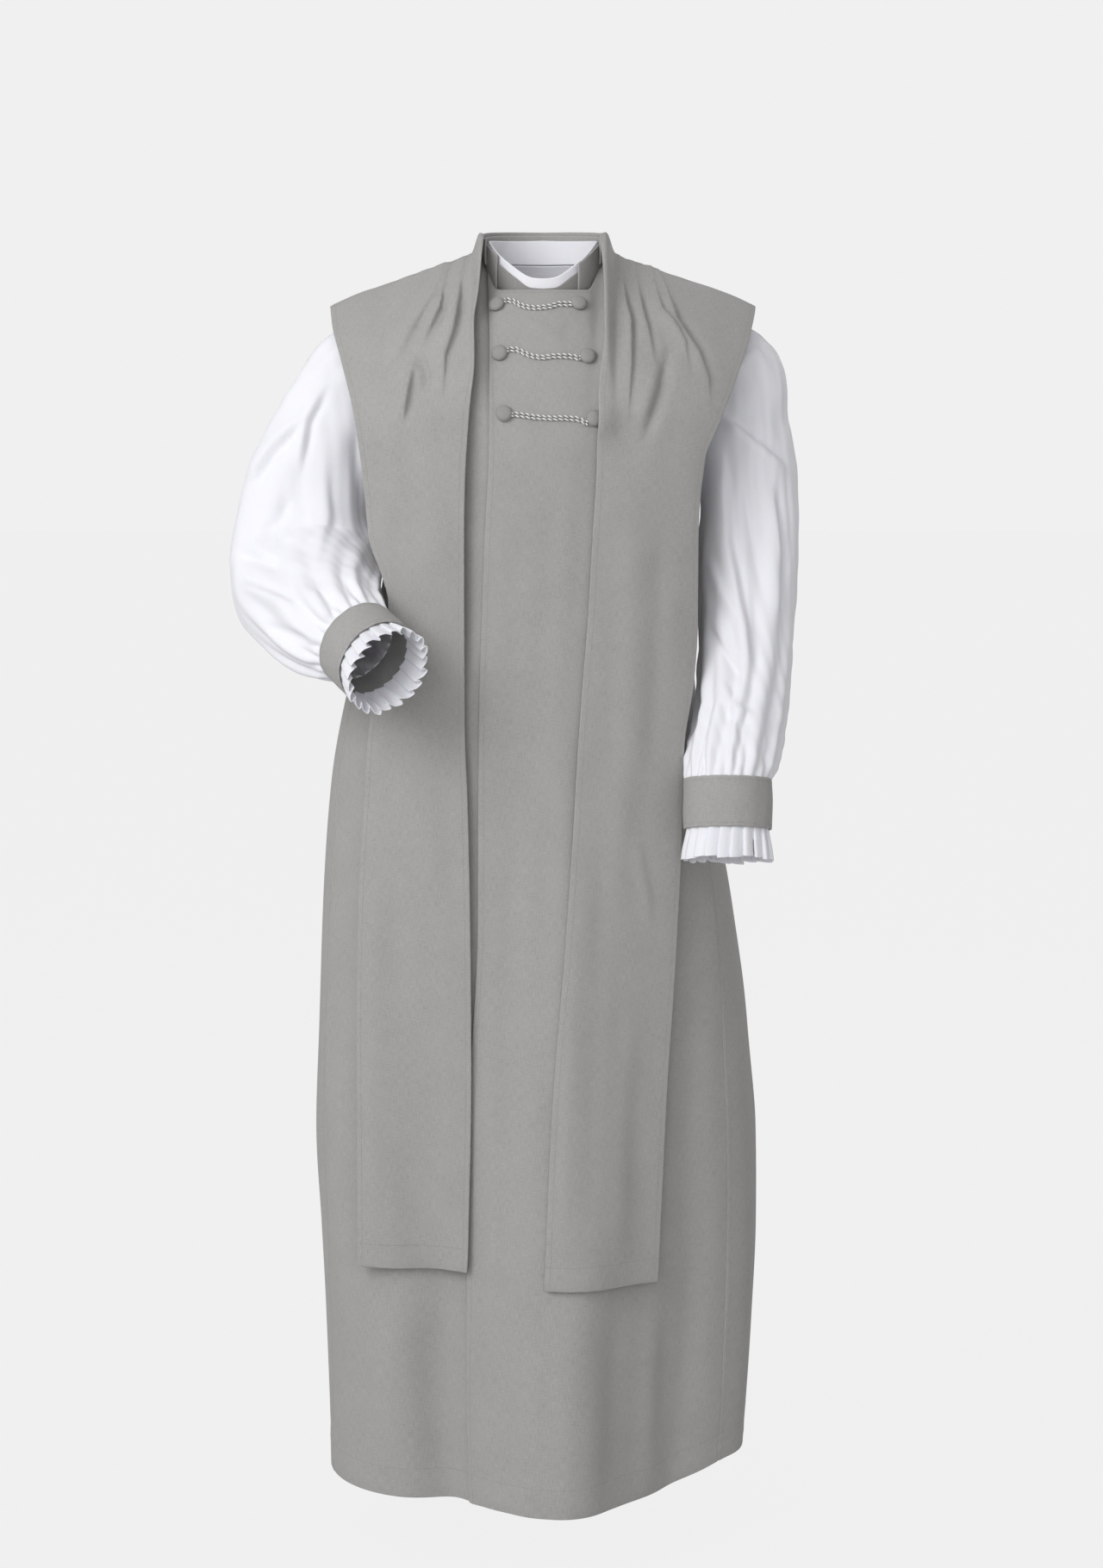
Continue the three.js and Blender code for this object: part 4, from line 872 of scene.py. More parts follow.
@dataclass
class OuterPanels:
    """The two loose front panels, pleated at the shoulders and open at the sides."""

    form: HollowForm
    cloth: bpy.types.Material
    thickness: float = 2.0
    offset: float = 7.4
    # height, inner edge x, outer edge x
    right: tuple[tuple[float, ...], ...] = (
        (26, -60, -217), (0, -62.5, -217), (-30, -65, -217), (-62, -69, -213), (-103, -68, -201),
        (-157, -73, -187), (-227, -77, -177), (-286, -78, -171), (-323, -78, -158),
        (-350, -78, -152), (-400, -78, -153), (-472, -78, -172), (-554, -75, -178),
        (-653, -73, -184), (-812, -72, -187), (-1043, -77, -187),
    )
    left: tuple[tuple[float, ...], ...] = (
        (26, 58, 217), (0, 60.5, 217), (-34, 62, 217), (-75, 62, 208), (-121, 57, 192),
        (-174, 54, 171), (-201, 54, 160), (-278, 50, 153), (-368, 45, 153), (-430, 40, 149),
        (-500, 35, 139), (-600, 29, 137), (-700, 22, 133), (-875, 9, 123), (-1053, 2, 115),
    )
    hem_right: float = -1043.0
    hem_left: float = -1053.0
    pleats_right: tuple[Crease, ...] = (
        Crease(((-99, 0), (-111, -37), (-140, -88), (-163, -128)), 7.0, 16, 0.14, 1.4, 0.5),
        Crease(((-95, 4), (-105, -49), (-112, -66), (-127, -99)), 9.0, 14, 0.14, 1.8, 0.6),
        Crease(((-127, -96), (-118, -110), (-112, -134)), -5.5, 8, 1.0, 0.3),
        Crease(((-128, -104), (-133, -130), (-139, -168)), 5.5, 11, 0.2, 0.35, 0.5),
        Crease(
            ((-80, 4), (-87, -49), (-91, -74), (-98, -96), (-99, -154)), 8.5, 13, 0.14, 1.5, 0.6
        ),
        Crease(((-140, -20), (-158, -70), (-182, -120)), 2.4, 16, 0.6, 0.4),
    )
    pleats_left: tuple[Crease, ...] = (
        Crease(
            ((78, 4), (81, -47), (85, -62), (86, -106), (84, -156), (86, -176)),
            6.4, 12, 0.12, 1.4, 0.2,
        ),
        Crease(((92, 4), (98, -50), (104, -72), (110, -102), (117, -122)), 6.0, 12, 0.12, 1.3),
        Crease(
            ((108, 2), (117, -50), (131, -70), (139, -84), (145, -112), (149, -130)),
            6.0, 12, 0.12, 1.3,
        ),
        Crease(
            ((112, 2), (124, -27), (132, -59), (154, -94), (163, -118), (167, -160)),
            6.8, 14, 0.1, 1.5,
        ),
        Crease(((125, -78), (125, -99), (119, -131), (106, -170), (96, -196)), -5.0, 9, 1.0, 0.35),
        Crease(((110, -100), (106, -130), (94, -168)), 2.6, 10, 1.0, 0.35),
        Crease(((90, -585), (96, -617), (109, -683)), 1.8, 12, 0.6, 0.3),
    )
    creases_right: tuple[Crease, ...] = (
        Crease(((-110, -190), (-108, -420), (-116, -700)), 2.0, 22),
        Crease(((-150, -230), (-140, -330), (-128, -400)), -1.8, 16),
        Crease(((-140, -560), (-146, -800), (-140, -1040)), -1.8, 20),
        Crease(((-98, -640), (-96, -880), (-104, -1040)), 1.4, 16),
        Crease(((-168, -640), (-172, -860), (-168, -1040)), 1.6, 16),
    )
    creases_left: tuple[Crease, ...] = (
        Crease(((92, -200), (86, -420), (72, -680)), 2.0, 20),
        Crease(((120, -240), (112, -420), (104, -560)), -1.8, 16),
        Crease(((60, -560), (48, -800), (38, -1050)), -1.4, 16),
        Crease(((88, -740), (76, -900), (70, -1050)), 1.6, 16),
        Crease(((34, -640), (22, -860), (18, -1050)), 1.2, 12),
    )
    # The left panel rises over the lowest button, half under its edge: x, z, height, width.
    button_rise: tuple[float, ...] = (55, -163, 8.5, 26)

    def top(self, x: Array) -> Array:
        """Returns the top edge: the shoulder seam, rising into the collar at the neck."""
        corner = 4 * np.clip((66 - np.abs(x)) / 6, 0, 1) ** 2
        return self.form.shoulder_height(x) + 17 * smooth((73 - np.abs(x)) / 10) - corner

    def panel(self, side: Side) -> Panel:
        """Returns one panel."""
        right = side is Side.RIGHT
        rows, hem, table, soft = (
            (self.right, self.hem_right, self.pleats_right, self.creases_right) if right
            else (self.left, self.hem_left, self.pleats_left, self.creases_left)
        )
        inner, edge = columns(rows, 0, 1), columns(rows, 0, 2)
        pleats, lean = relief_of(table), relief_of(table, leaning=True)
        folds = relief_of(soft)
        first, last = (edge, inner) if right else (inner, edge)
        bx, bz, high, wide = self.button_rise

        def relief(x: Array, z: Array) -> Array:
            """Adds the pleats to the rise over the tucked button."""
            rise = high * bump(np.hypot(x - bx, z - bz), wide) if side is Side.LEFT else 0.0
            return pleats(x, z) * pressed(x, z) + rise

        def pressed(x: Array, z: Array) -> Array:
            """Returns how far the pleats have opened below the shoulder seam."""
            return lerp(0.14, 1.0, smooth((self.form.shoulder_height(x) - z - 10) / 38))

        def surface(x: Array, z: Array) -> Array:
            """Adds soft folds, the turned hem and a slow unevenness."""
            turned = 0.5 * smooth((24 - (z - hem)) / 2.0)
            uneven = 0.5 * wander(x, z * 0.35, 11 + side.value, 48)
            return folds(x, z) + turned + uneven

        return Panel(
            form=self.form, name=f"loose_panel_{side.name.lower()}", layer=Layer.OUTER,
            start=lambda z: self.form.angle_at(first(z), z, Layer.OUTER),
            end=lambda z: self.form.angle_at(last(z), z, Layer.OUTER),
            top=self.top, top_depth=lambda x, o: 0.2 + 26 * smooth((71 - np.abs(x)) / 9),
            offset=lambda x, z: self.offset + 0 * x, hem=lambda a: hem + 0 * a,
            rows=(100, 76), across=124, underarm=self.form.underarm, thickness=self.thickness,
            relief=relief, surface=surface, lean=lambda x, z: lean(x, z) * pressed(x, z),
        )

    def pieces(self) -> tuple[list[Piece], dict[str, ClothSheet]]:
        """Builds and dresses both panels."""
        sheets = {s.name.lower(): self.panel(s).sheet() for s in Side}
        flats = {"right": (0.22, 1.13), "left": (0.24, 1.14)}
        under = {"right": "chimere_front_right", "left": "chimere_front_left"}
        made = [
            finished(
                sheet, f"outer_panel_{side}", "grey_cloth", self.cloth, flats[side], "hung",
                (under[side],),
            )
            for side, sheet in sheets.items()
        ]
        return made, {f"loose_{side}": sheet for side, sheet in sheets.items()}


@dataclass
class NeckBands:
    """Collars round the neck, one outside another: white, dark insert, gown and outer band."""

    grey: bpy.types.Material
    dark: bpy.types.Material
    white: bpy.types.Material
    half: float = 55.0
    front: float = 60.0
    back: float = 54.0
    thickness: float = 2.0
    # angle from the front, low edge, high edge
    white_edges: tuple[tuple[float, ...], ...] = (
        (0, -42, -19), (9, -41.5, -18.4), (40, -34, -2), (75, -8, 18), (90, 1, 22), (180, 1, 25),
    )
    insert_edges: tuple[tuple[float, ...], ...] = (
        (0, -38, -29.6), (12, -38, -28.5), (30, -37, -17), (52, -26, -2), (76, -2, 12),
    )
    gown_edges: tuple[tuple[float, ...], ...] = (
        (0, -38, -16), (38, -37, -2), (50, -33, 6), (60, -24, 12), (70, -12, 17),
        (80, -3, 21), (90, 2, 25), (150, 3, 30), (180, 3, 30.5),
    )
    outer_edges: tuple[tuple[float, ...], ...] = (
        (66, -4, 23), (76, 5, 25), (86, 16.5, 28), (130, 16.5, 33), (160, 16.5, 34),
        (180, 16.5, 34),
    )

    def band(
        self, name: str, lean: float, arc: tuple[float, float],
        edges: tuple[tuple[float, ...], ...], seed: int,
    ) -> ClothSheet:
        """Makes one band.

        Args:
            name: the piece's name.
            lean: how far it stands outside the neck's oval.
            arc: the angles it runs between.
            edges: its low and high edges by angle.
            seed: which unevenness it has.

        Returns:
            The band as a sheet.
        """
        closed = arc[1] - arc[0] >= 360
        count = max(40, int((arc[1] - arc[0]) / 2.5))
        angle = np.linspace(*arc, count, endpoint=not closed)[None, :]
        share = np.linspace(0, 1, 15)[:, None]
        turned = np.abs(wrapped(angle))
        low, high = columns(edges, 0, 1)(turned), columns(edges, 0, 2)(turned)
        z = lerp(high, low, share)
        turn = np.radians(angle)
        rolled = 0.35 * np.sin(share * math.pi) + 0.25 * wander(
            np.sin(turn) * 60 + 0 * z, np.cos(turn) * 60 + z, seed, 40
        )
        out = lean + self.thickness / 2 + rolled
        depth = np.where(np.cos(turn) > 0, self.front, self.back) + out
        x = (self.half + out) * np.sin(turn)
        return ClothSheet(name, np.stack([x, -depth * np.cos(turn), z], -1), self.thickness, closed)

    def pieces(self) -> tuple[list[Piece], dict[str, ClothSheet]]:
        """Builds and dresses the four bands."""
        # name, node, how far it stands out, arc, edges, cloth, slot, length in metres
        rows = (
            ("white_collar", "rochet_collar", 0, (0, 360), self.white_edges,
             self.white, "white_cloth", 0.36),
            ("neck_insert", "collar_insert", 2.7, (-76, 76), self.insert_edges,
             self.dark, "dark_grey_cloth", 0.17),
            ("gown_band", "gown_collar", 5.4, (37, 309), self.gown_edges,
             self.grey, "grey_cloth", 0.3),
            ("outer_band", "outer_collar", 8.2, (68, 292), self.outer_edges,
             self.grey, "grey_cloth", 0.26),
        )
        made, sheets = [], {}
        for seed, (name, node, lean, arc, edges, cloth, slot, long) in enumerate(rows, start=20):
            sheets[name] = self.band(name, lean, arc, edges, seed)
            flat = (long, flat_area(sheets[name]) / long * 1.05)
            made.append(finished(sheets[name], node, slot, cloth, flat, "stretched"))
        return made, sheets


# ================= the rochet =================


@dataclass
class RochetBody:
    """The white body inside the gown: a front and a back, with open neck and armholes."""

    gown: GownBody
    cloth: bpy.types.Material
    thickness: float = 1.5
    offset: float = -10.0
    hem: float = -1130.0
    underarm: float = -214.0
    rounding: float = 235.0
    half: float = 56.0
    neck_front: float = 60.0
    neck_back: float = 54.0
    neck_gap: float = 1.6
    # angle from the front, low edge of the white collar
    white_low: tuple[tuple[float, float], ...] = (
        (0, -42), (9, -41.5), (40, -34), (75, -8), (90, 1), (180, 1),
    )

    def edge_angle(self, side: Side, z: Array) -> Array:
        """Returns the angle of the front's edge on one side."""
        edge = self.gown.body_edge(side, "rochet", z, self.underarm)
        return self.gown.form.angle_at(edge, z, Layer.BODY)

    def back_angle(self, front: Array, z: Array) -> Array:
        """Returns the back's edge: the front's mirror above the underarm, the same below."""
        mirrored = np.sign(front) * (180 - np.abs(front))
        return lerp(front, mirrored, smooth((z - self.underarm) / self.gown.armhole_turn))

    def panel(self, front: bool, rows: tuple[int, int] = (42, 56), across: int = 66) -> Panel:
        """Returns the front or the back."""
        form, gown = self.gown.form, self.gown
        low = columns(self.white_low, 0, 1)
        depth = self.neck_front if front else self.neck_back

        def top(x: Array) -> Array:
            """Returns the neck's edge just under the white collar, then the shoulder."""
            inside = np.degrees(np.arcsin(np.minimum(1, np.abs(x) / self.half)))
            edge = low(inside if front else 180 - inside)
            neck = edge - self.neck_gap - self.offset - self.thickness
            return np.where(np.abs(x) >= self.half, form.shoulder_height(x), neck)

        def start(z: Array) -> Array:
            """Returns the angle of the panel's first edge."""
            if front:
                return self.edge_angle(Side.RIGHT, z) + gown.gap_angle(z)
            return self.back_angle(self.edge_angle(Side.LEFT, z), z) + gown.gap_angle(z)

        def end(z: Array) -> Array:
            """Returns the angle of the panel's last edge."""
            if front:
                return self.edge_angle(Side.LEFT, z) - gown.gap_angle(z)
            return 360 + self.back_angle(self.edge_angle(Side.RIGHT, z), z) - gown.gap_angle(z)

        return Panel(
            form=form, name=f"rochet_{'front' if front else 'back'}_cloth", layer=Layer.BODY,
            start=start, end=end, top=top,
            top_depth=lambda x, o: depth * np.sqrt(np.maximum(0, 1 - (x / self.half) ** 2)) + 0.2,
            offset=lambda x, z: self.offset + 0 * x, hem=lambda a: self.hem + 0 * a, rows=rows,
            across=across, underarm=self.underarm, thickness=self.thickness,
            surface=lambda x, z: 0.6 * wander(x, z * 0.4, 31, 50) * smooth((-260 - z) / 80),
            rounding=self.rounding, crowd=1.5,
        )

    def armhole(self, side: Side, count: int) -> Array:
        """Finds the armhole's loop on the cloth.

        Args:
            side: which arm.
            count: how many points round it, from the top down the front and up the back.

        Returns:
            The points in mm.
        """
        half, steps = count // 2, 60
        edges = []
        for front in (True, False):
            panel = self.panel(front, (steps, 4), 2)
            column = 0 if (side is Side.RIGHT) == front else -1
            edges.append(panel.grid()[:steps + 1, column])
        place = np.arange(half + 1) / half * steps
        rows = np.arange(steps + 1)
        down, up = (
            np.stack([np.interp(place, rows, edge[:, k]) for k in range(3)], -1) for edge in edges
        )
        return np.concatenate([down, up[::-1][1:-1]])

    def pieces(self) -> list[Piece]:
        """Builds and dresses both panels."""
        return [
            finished(self.panel(front).sheet(), node, "white_cloth", self.cloth, flat, "hung")
            for front, node, flat in (
                (True, "rochet_front", (0.52, 1.2)), (False, "rochet_back", (0.62, 1.2)),
            )
        ]


@dataclass
class Sleeve:
    """A full white sleeve, gathered into a grey cuff with a pleated ruffle."""

    side: Side
    rochet: RochetBody
    white: bpy.types.Material
    grey: bpy.types.Material
    # middle x, y, z; wide axis x, y, z; half-width a, half-depth b; gather height
    stations: tuple[tuple[float, ...], ...]
    cuff_axis: tuple[float, float, float]
    creases: tuple[Crease, ...]
    back_creases: tuple[Crease, ...]
    around: int = 176
    along: int = 116
    thickness: float = 1.5
    gap: float = 1.6
    gathers: int = 24
    # angle, width, height, middle share and reach of each long soft fold
    folds: tuple[tuple[float, ...], ...] = (
        (20, 26, 5, 0.34, 0.3), (78, 24, -5, 0.42, 0.26), (135, 26, 5, 0.5, 0.3),
        (200, 26, -4, 0.4, 0.3), (262, 24, 5, 0.48, 0.28), (318, 24, -4.5, 0.56, 0.26),
    )
    cuff_length: float = 50.0
    cuff_a: float = 45.4
    cuff_b: float = 37.4
    cuff_thick: float = 2.4
    ruffle_length: float = 33.0
    ruffle_inside: float = 6.0
    ruffle_pleats: int = 21
    ruffle_cloth: float = 0.8
    cuff_gap: float = 0.6
    # flat sizes in metres: round the sleeve, the cuff, the ruffle's mean and whole depth
    sleeve_round: float = 0.42
    cuff_flat: tuple[float, float] = (0.262, 0.052)
    ruffle_mean: float = 0.039
    ruffle_depth: float = 0.0395

    @staticmethod
    def spline(points: Array, at: Array) -> Array:
        """Reads a centripetal Catmull-Rom curve.

        Args:
            points: the stations' middles.
            at: shares of the curve, evenly by station.

        Returns:
            The curve's points.
        """
        last = len(points) - 1
        place = np.clip(at, 0, 1) * last
        found = []
        for p in place:
            i = min(int(p), last - 1)
            w = p - i
            p1, p2 = points[i], points[i + 1]
            p0 = points[i - 1] if i else p1 * 2 - p2
            p3 = points[i + 2] if i < last - 1 else p2 * 2 - p1
            spans = ((p0, p1), (p1, p2), (p2, p3))
            d0, d1, d2 = (max(np.linalg.norm(b - a) ** 0.5, 1e-4) for a, b in spans)
            t1 = ((p1 - p0) / d0 - (p2 - p0) / (d0 + d1) + (p2 - p1) / d1) * d1
            t2 = ((p2 - p1) / d1 - (p3 - p1) / (d1 + d2) + (p3 - p2) / d2) * d1
            c2, c3 = -3 * p1 + 3 * p2 - 2 * t1 - t2, 2 * p1 - 2 * p2 + t1 + t2
            found.append(p1 + t1 * w + c2 * w * w + c3 * w**3)
        return np.array(found)

    def frames(self) -> tuple[Array, Array, Array, Array]:
        """Works out the sleeve's middle line and its wide and deep axes.

        Returns:
            Shares along the sleeve, middles, wide axes and deep axes.
        """
        table = np.array(self.stations)
        share = np.linspace(0, 1, self.along + 1)
        middle = self.spline(table[:, :3], share)
        tangent = unit(np.gradient(middle, axis=0))
        reach = self.along // 6
        padded = np.pad(tangent, ((reach, reach), (0, 0)), "edge")
        window = np.hanning(2 * reach + 1) / np.hanning(2 * reach + 1).sum()
        tangent = np.stack([np.convolve(padded[:, k], window, "valid") for k in range(3)], -1)
        turn = smooth((share - 0.8) / 0.2)[:, None]
        tangent = lerp(tangent, np.array(self.cuff_axis), turn)
        first = np.array([float(self.side.value), 0, 0])
        start = smooth(1 - share * self.along / 8)[:, None]
        tangent = unit(lerp(tangent, first, start))
        index = np.arange(len(table))
        place = share * (len(table) - 1)
        wide = np.stack([Track(index, table[:, 3 + k])(place) for k in range(3)], -1)
        wide = unit(wide - tangent * np.sum(wide * tangent, axis=1, keepdims=True))
        deep = np.cross(tangent, wide) * self.side.value
        return share, middle, wide, deep

    def grid(self) -> Array:
        """Works out the sleeve's middle surface.

        Returns:
            Rows by columns by 3, in mm.
        """
        table = np.array(self.stations)
        share, middle, wide, deep = self.frames()
        place = share * (len(table) - 1)
        index = np.arange(len(table))
        a, b, gather = (Track(index, table[:, 6 + k])(place)[:, None] for k in range(3))
        degrees = np.arange(self.around)[None, :] * 360 / self.around
        turn = np.radians(degrees)
        s = share[:, None]
        out = np.zeros((len(share), self.around))
        for angle, width, height, centre, reach in self.folds:
            across = bump(wrapped(degrees - angle), width)
            out += height * across * bump(s - centre, reach)
        length = np.concatenate([[0], np.cumsum(np.linalg.norm(np.diff(middle, axis=0), axis=1))])
        left = (length[-1] - length)[:, None]
        out += self.gathering(turn, left, gather)
        out += self.shoulder_gathers(turn, length[:, None])
        grid = (
            middle[:, None]
            + wide[:, None] * ((a + out) * np.cos(turn))[..., None]
            + deep[:, None] * ((b + out) * np.sin(turn))[..., None]
        )
        ring = self.rochet.armhole(self.side, self.around)
        ring[:, 0] += self.side.value * self.gap
        eased = smooth(1 - np.arange(len(share)) / 7)[:, None, None]
        grid = lerp(grid, ring[None], eased * (np.arange(len(share)) < 7)[:, None, None])
        grid[0] = ring
        out_way = normals_of(grid, True) * self.out_sign(grid)
        front = smooth(0.5 - out_way[..., 1] * 1.4)
        x, z = grid[..., 0], grid[..., 2]
        ends = smooth(left / 14) * smooth(length[:, None] / 16)
        lift = relief_of(self.creases)(x, z) * front
        lift += relief_of(self.back_creases)(x, z) * (1 - front)
        lift += 0.7 * wander(x + grid[..., 1], z, 40 + self.side.value, 34)
        return grid + out_way * (lift * ends)[..., None]

    def gathering(self, turn: Array, left: Array, gather: Array) -> Array:
        """Makes the small folds drawn up into the cuff.

        Args:
            turn: angle round the sleeve in radians.
            left: distance from each row to the cuff in mm.
            gather: height of the broad folds at each row.

        Returns:
            The lift outwards in mm.
        """
        phase = self.gathers * turn + 0.9 * np.sin(3 * turn + 0.7) + 0.6 * np.sin(7 * turn + 2)
        reach = 46 + 26 * np.sin(2 * turn + 1.3) + 14 * np.sin(5 * turn)
        fine = 2.3 * (0.75 + 0.25 * np.sin(6 * turn + 1)) * np.cos(phase)
        fine = fine * np.exp(-((left / reach) ** 1.6))
        broad = gather * np.cos(phase / 2 + 0.35 * np.sin(left / 24 + 2 * turn)) * smooth(left / 22)
        return (fine + broad) * smooth((left + 6) / 12)

    def shoulder_gathers(self, turn: Array, done: Array) -> Array:
        """Returns the shallow pleats where the sleeve is set into the armhole."""
        over = smooth((np.cos(turn) + 0.1) / 0.8)
        ripples = np.cos(17 * turn + 0.8 * np.sin(4 * turn))
        return 1.6 * over * ripples * bump(done - 14, 34)

    def oval(self, out: Array, length: Array, turn: Array) -> Array:
        """Places points on ovals round the cuff's own line.

        Args:
            out: distance outside the cuff's oval.
            length: distance along the cuff from its upper end.
            turn: angle round the cuff in radians.

        Returns:
            The points in mm.
        """
        axis = np.array(self.cuff_axis) / np.linalg.norm(self.cuff_axis)
        start = np.array(self.stations[-1][:3]) + axis * self.cuff_gap
        across = np.array(self.stations[-1][3:6], float)
        across -= axis * across.dot(axis)
        across /= np.linalg.norm(across)
        deep = np.cross(axis, across)
        return (
            start + axis * length[..., None]
            + across * ((self.cuff_a + out) * np.cos(turn))[..., None]
            + deep * ((self.cuff_b + out) * np.sin(turn))[..., None]
        )

    def tube(self, kind: str, grid: Array, thickness: float) -> ClothSheet:
        """Returns the grid as a closed wall of cloth that faces out."""
        name = f"{kind}_{self.side.name.lower()}"
        return ClothSheet(name, grid, thickness, True, self.out_sign(grid))

    def cuff(self) -> ClothSheet:
        """Returns the grey cuff with its slightly full middle."""
        ring = np.linspace(0, 2 * math.pi, 120, endpoint=False)
        turn, share = np.meshgrid(ring, np.linspace(0, 1, 25))
        uneven = 0.3 * wander(turn * 40, share * 50, 50 + self.side.value, 30)
        full = 0.5 * np.sin(share * math.pi) - self.cuff_thick / 2 + uneven
        return self.tube(
            "cuff_band", self.oval(full, share * self.cuff_length, turn), self.cuff_thick
        )

    def ruffle(self) -> ClothSheet:
        """Returns the ruffle: knife pleats, each rising slowly and folding back under the next."""
        per = 16
        step = np.arange(self.ruffle_pleats * per)[None, :]
        phase, pleat = step % per / per, step // per
        share = np.linspace(0, 1, 17)[:, None]
        opened = smooth(share * 1.15)
        shape = np.interp(phase, (0, 0.06, 0.74, 0.82, 0.94, 1), (-1, -0.9, 0.95, 1, -0.6, -1))
        uneven = 0.8 + 0.25 * np.sin(pleat * 2.4) + 0.12 * np.sin(pleat * 5.1 + 1)
        inside = self.cuff_thick + 2.75
        out = 4.0 * share + shape * lerp(1.1, 4.3, opened) * uneven - inside
        lean = 0.32 * smooth((phase - 0.55) / 0.3) * (1 - smooth((phase - 0.86) / 0.14))
        lean = lean * (0.35 + 0.65 * opened)
        turn = (pleat + phase + lean) / self.ruffle_pleats * 2 * math.pi
        turn = turn + 0.02 * np.sin(pleat * 1.9) * share
        tip = 1.2 * np.sin(pleat * 1.7) * share + 0.8 * shape * share
        reach = self.ruffle_length + self.ruffle_inside - 1.5
        length = self.cuff_length - self.ruffle_inside + share * reach + tip
        return self.tube("pleated_ruffle", self.oval(out, length, turn), self.ruffle_cloth)

    @staticmethod
    def out_sign(grid: Array) -> float:
        """Returns 1 where a tube's grid faces out, and -1 where it faces in."""
        centre = grid.mean(axis=1, keepdims=True)
        return 1.0 if np.sum(normals_of(grid, True) * (grid - centre)) > 0 else -1.0

    def pieces(self) -> tuple[list[Piece], dict[str, ClothSheet]]:
        """Builds and dresses sleeve, cuff and ruffle."""
        side = self.side.name.lower()
        sleeve = self.tube("full_sleeve", self.grid(), self.thickness)
        cuff, ruffle = self.cuff(), self.ruffle()
        long = flat_area(sleeve) / self.sleeve_round * 1.02
        wide = flat_area(ruffle) / self.ruffle_mean
        rows = (
            (sleeve, "sleeve", "white_cloth", self.white, (self.sleeve_round, long), "gathered"),
            (cuff, "cuff", "grey_cloth", self.grey, self.cuff_flat, "stretched"),
            (ruffle, "ruffle", "white_cloth", self.white, (wide, self.ruffle_depth), "gathered"),
        )
        made = [finished(sheet, f"{node}_{side}", *facts) for sheet, node, *facts in rows]
        return made, {f"cuff_{side}": cuff, f"ruffle_{side}": ruffle}


# ================= stitches, buttons and cords =================


class Nodes:
    """A node tree with short calls for adding and joining nodes."""

    def __init__(self, tree: bpy.types.NodeTree) -> None:
        """Keeps the tree."""
        self.tree = tree

    def feed(self, node: bpy.types.Node, inputs: dict[int | str, object]) -> None:
        """Sets a node's inputs, or joins them to other nodes' outputs.

        Args:
            node: the node.
            inputs: a value or an output for each input, by its name or number.
        """
        for socket, value in inputs.items():
            if isinstance(value, bpy.types.NodeSocket):
                self.tree.links.new(value, node.inputs[socket])
            else:
                node.inputs[socket].default_value = value

    def add(
        self, kind: str, inputs: dict[int | str, object] | None = None, **settings: object
    ) -> bpy.types.Node:
        """Adds a node.

        Args:
            kind: the node's type name.
            inputs: a value or an output for each input, by its name or number.
            settings: its properties.

        Returns:
            The node.
        """
        node = self.tree.nodes.new(kind)
        for key, value in settings.items():
            setattr(node, key, value)
        self.feed(node, inputs or {})
        return node

    def out(
        self, kind: str, inputs: dict[int | str, object] | None = None, **settings: object
    ) -> bpy.types.NodeSocket:
        """Adds a node and returns its first output."""
        return self.add(kind, inputs, **settings).outputs[0]

    def math(self, operation: str, *inputs: object) -> bpy.types.NodeSocket:
        """Adds a maths node with its inputs in order and returns its output."""
        return self.out("ShaderNodeMath", dict(enumerate(inputs)), operation=operation)


def line_object(name: str, lines: Sequence[Array]) -> bpy.types.Object:
    """Makes an object of plain lines, in metres, for a row of stitches or strands to follow."""
    points, edges = [], []
    for line in lines:
        first = len(points)
        points += (np.asarray(line) * MM).tolist()
        edges += [(k, k + 1) for k in range(first, len(points) - 1)]
    mesh = bpy.data.meshes.new(name)
    mesh.from_pydata(points, edges, [])
    return placed(name, mesh)


def grown(
    carrier: bpy.types.Object, tree: bpy.types.NodeTree, inputs: dict[str, float],
    material: bpy.types.Material,
) -> bpy.types.Object:
    """Runs a geometry tree on an object and keeps the mesh it makes.

    Args:
        carrier: the object the tree starts from.
        tree: the geometry tree.
        inputs: values for the tree's named inputs.
        material: the finish of the mesh.

    Returns:
        The carrier, now holding the finished mesh and no modifier.
    """
    modifier = carrier.modifiers.new("grow", "NODES")
    modifier.node_group = tree
    for item in tree.interface.items_tree:
        if item.item_type == "SOCKET" and item.in_out == "INPUT" and item.name in inputs:
            modifier[item.identifier] = inputs[item.name]
    graph = bpy.context.evaluated_depsgraph_get()
    mesh = bpy.data.meshes.new_from_object(carrier.evaluated_get(graph))
    carrier.modifiers.remove(modifier)
    old, carrier.data = carrier.data, mesh
    bpy.data.meshes.remove(old)
    mesh.name = carrier.name
    mesh.materials.clear()
    mesh.materials.append(material)
    mesh.shade_smooth()
    return carrier


def tree_with(name: str, inputs: dict[str, float]) -> tuple[Nodes, bpy.types.Node, bpy.types.Node]:
    """Starts a geometry tree.

    Args:
        name: the tree's name.
        inputs: its number inputs with their usual values.

    Returns:
        The tree's nodes, its input node and its output node.
    """
    tree = bpy.data.node_groups.new(name, "GeometryNodeTree")
    tree.interface.new_socket("Line", in_out="INPUT", socket_type="NodeSocketGeometry")
    for key, value in inputs.items():
        socket = tree.interface.new_socket(key, in_out="INPUT", socket_type="NodeSocketFloat")
        socket.default_value = value
    tree.interface.new_socket("Mesh", in_out="OUTPUT", socket_type="NodeSocketGeometry")
    nodes = Nodes(tree)
    return nodes, nodes.add("NodeGroupInput"), nodes.add("NodeGroupOutput")


def cut_lines(nodes: Nodes, start: bpy.types.Node, step: object) -> bpy.types.NodeSocket:
    """Returns the tree's lines as curves cut into equal steps."""
    curve = nodes.out("GeometryNodeMeshToCurve", {0: start.outputs["Line"]})
    return nodes.out("GeometryNodeResampleCurve", {"Curve": curve, "Length": step}, mode="LENGTH")


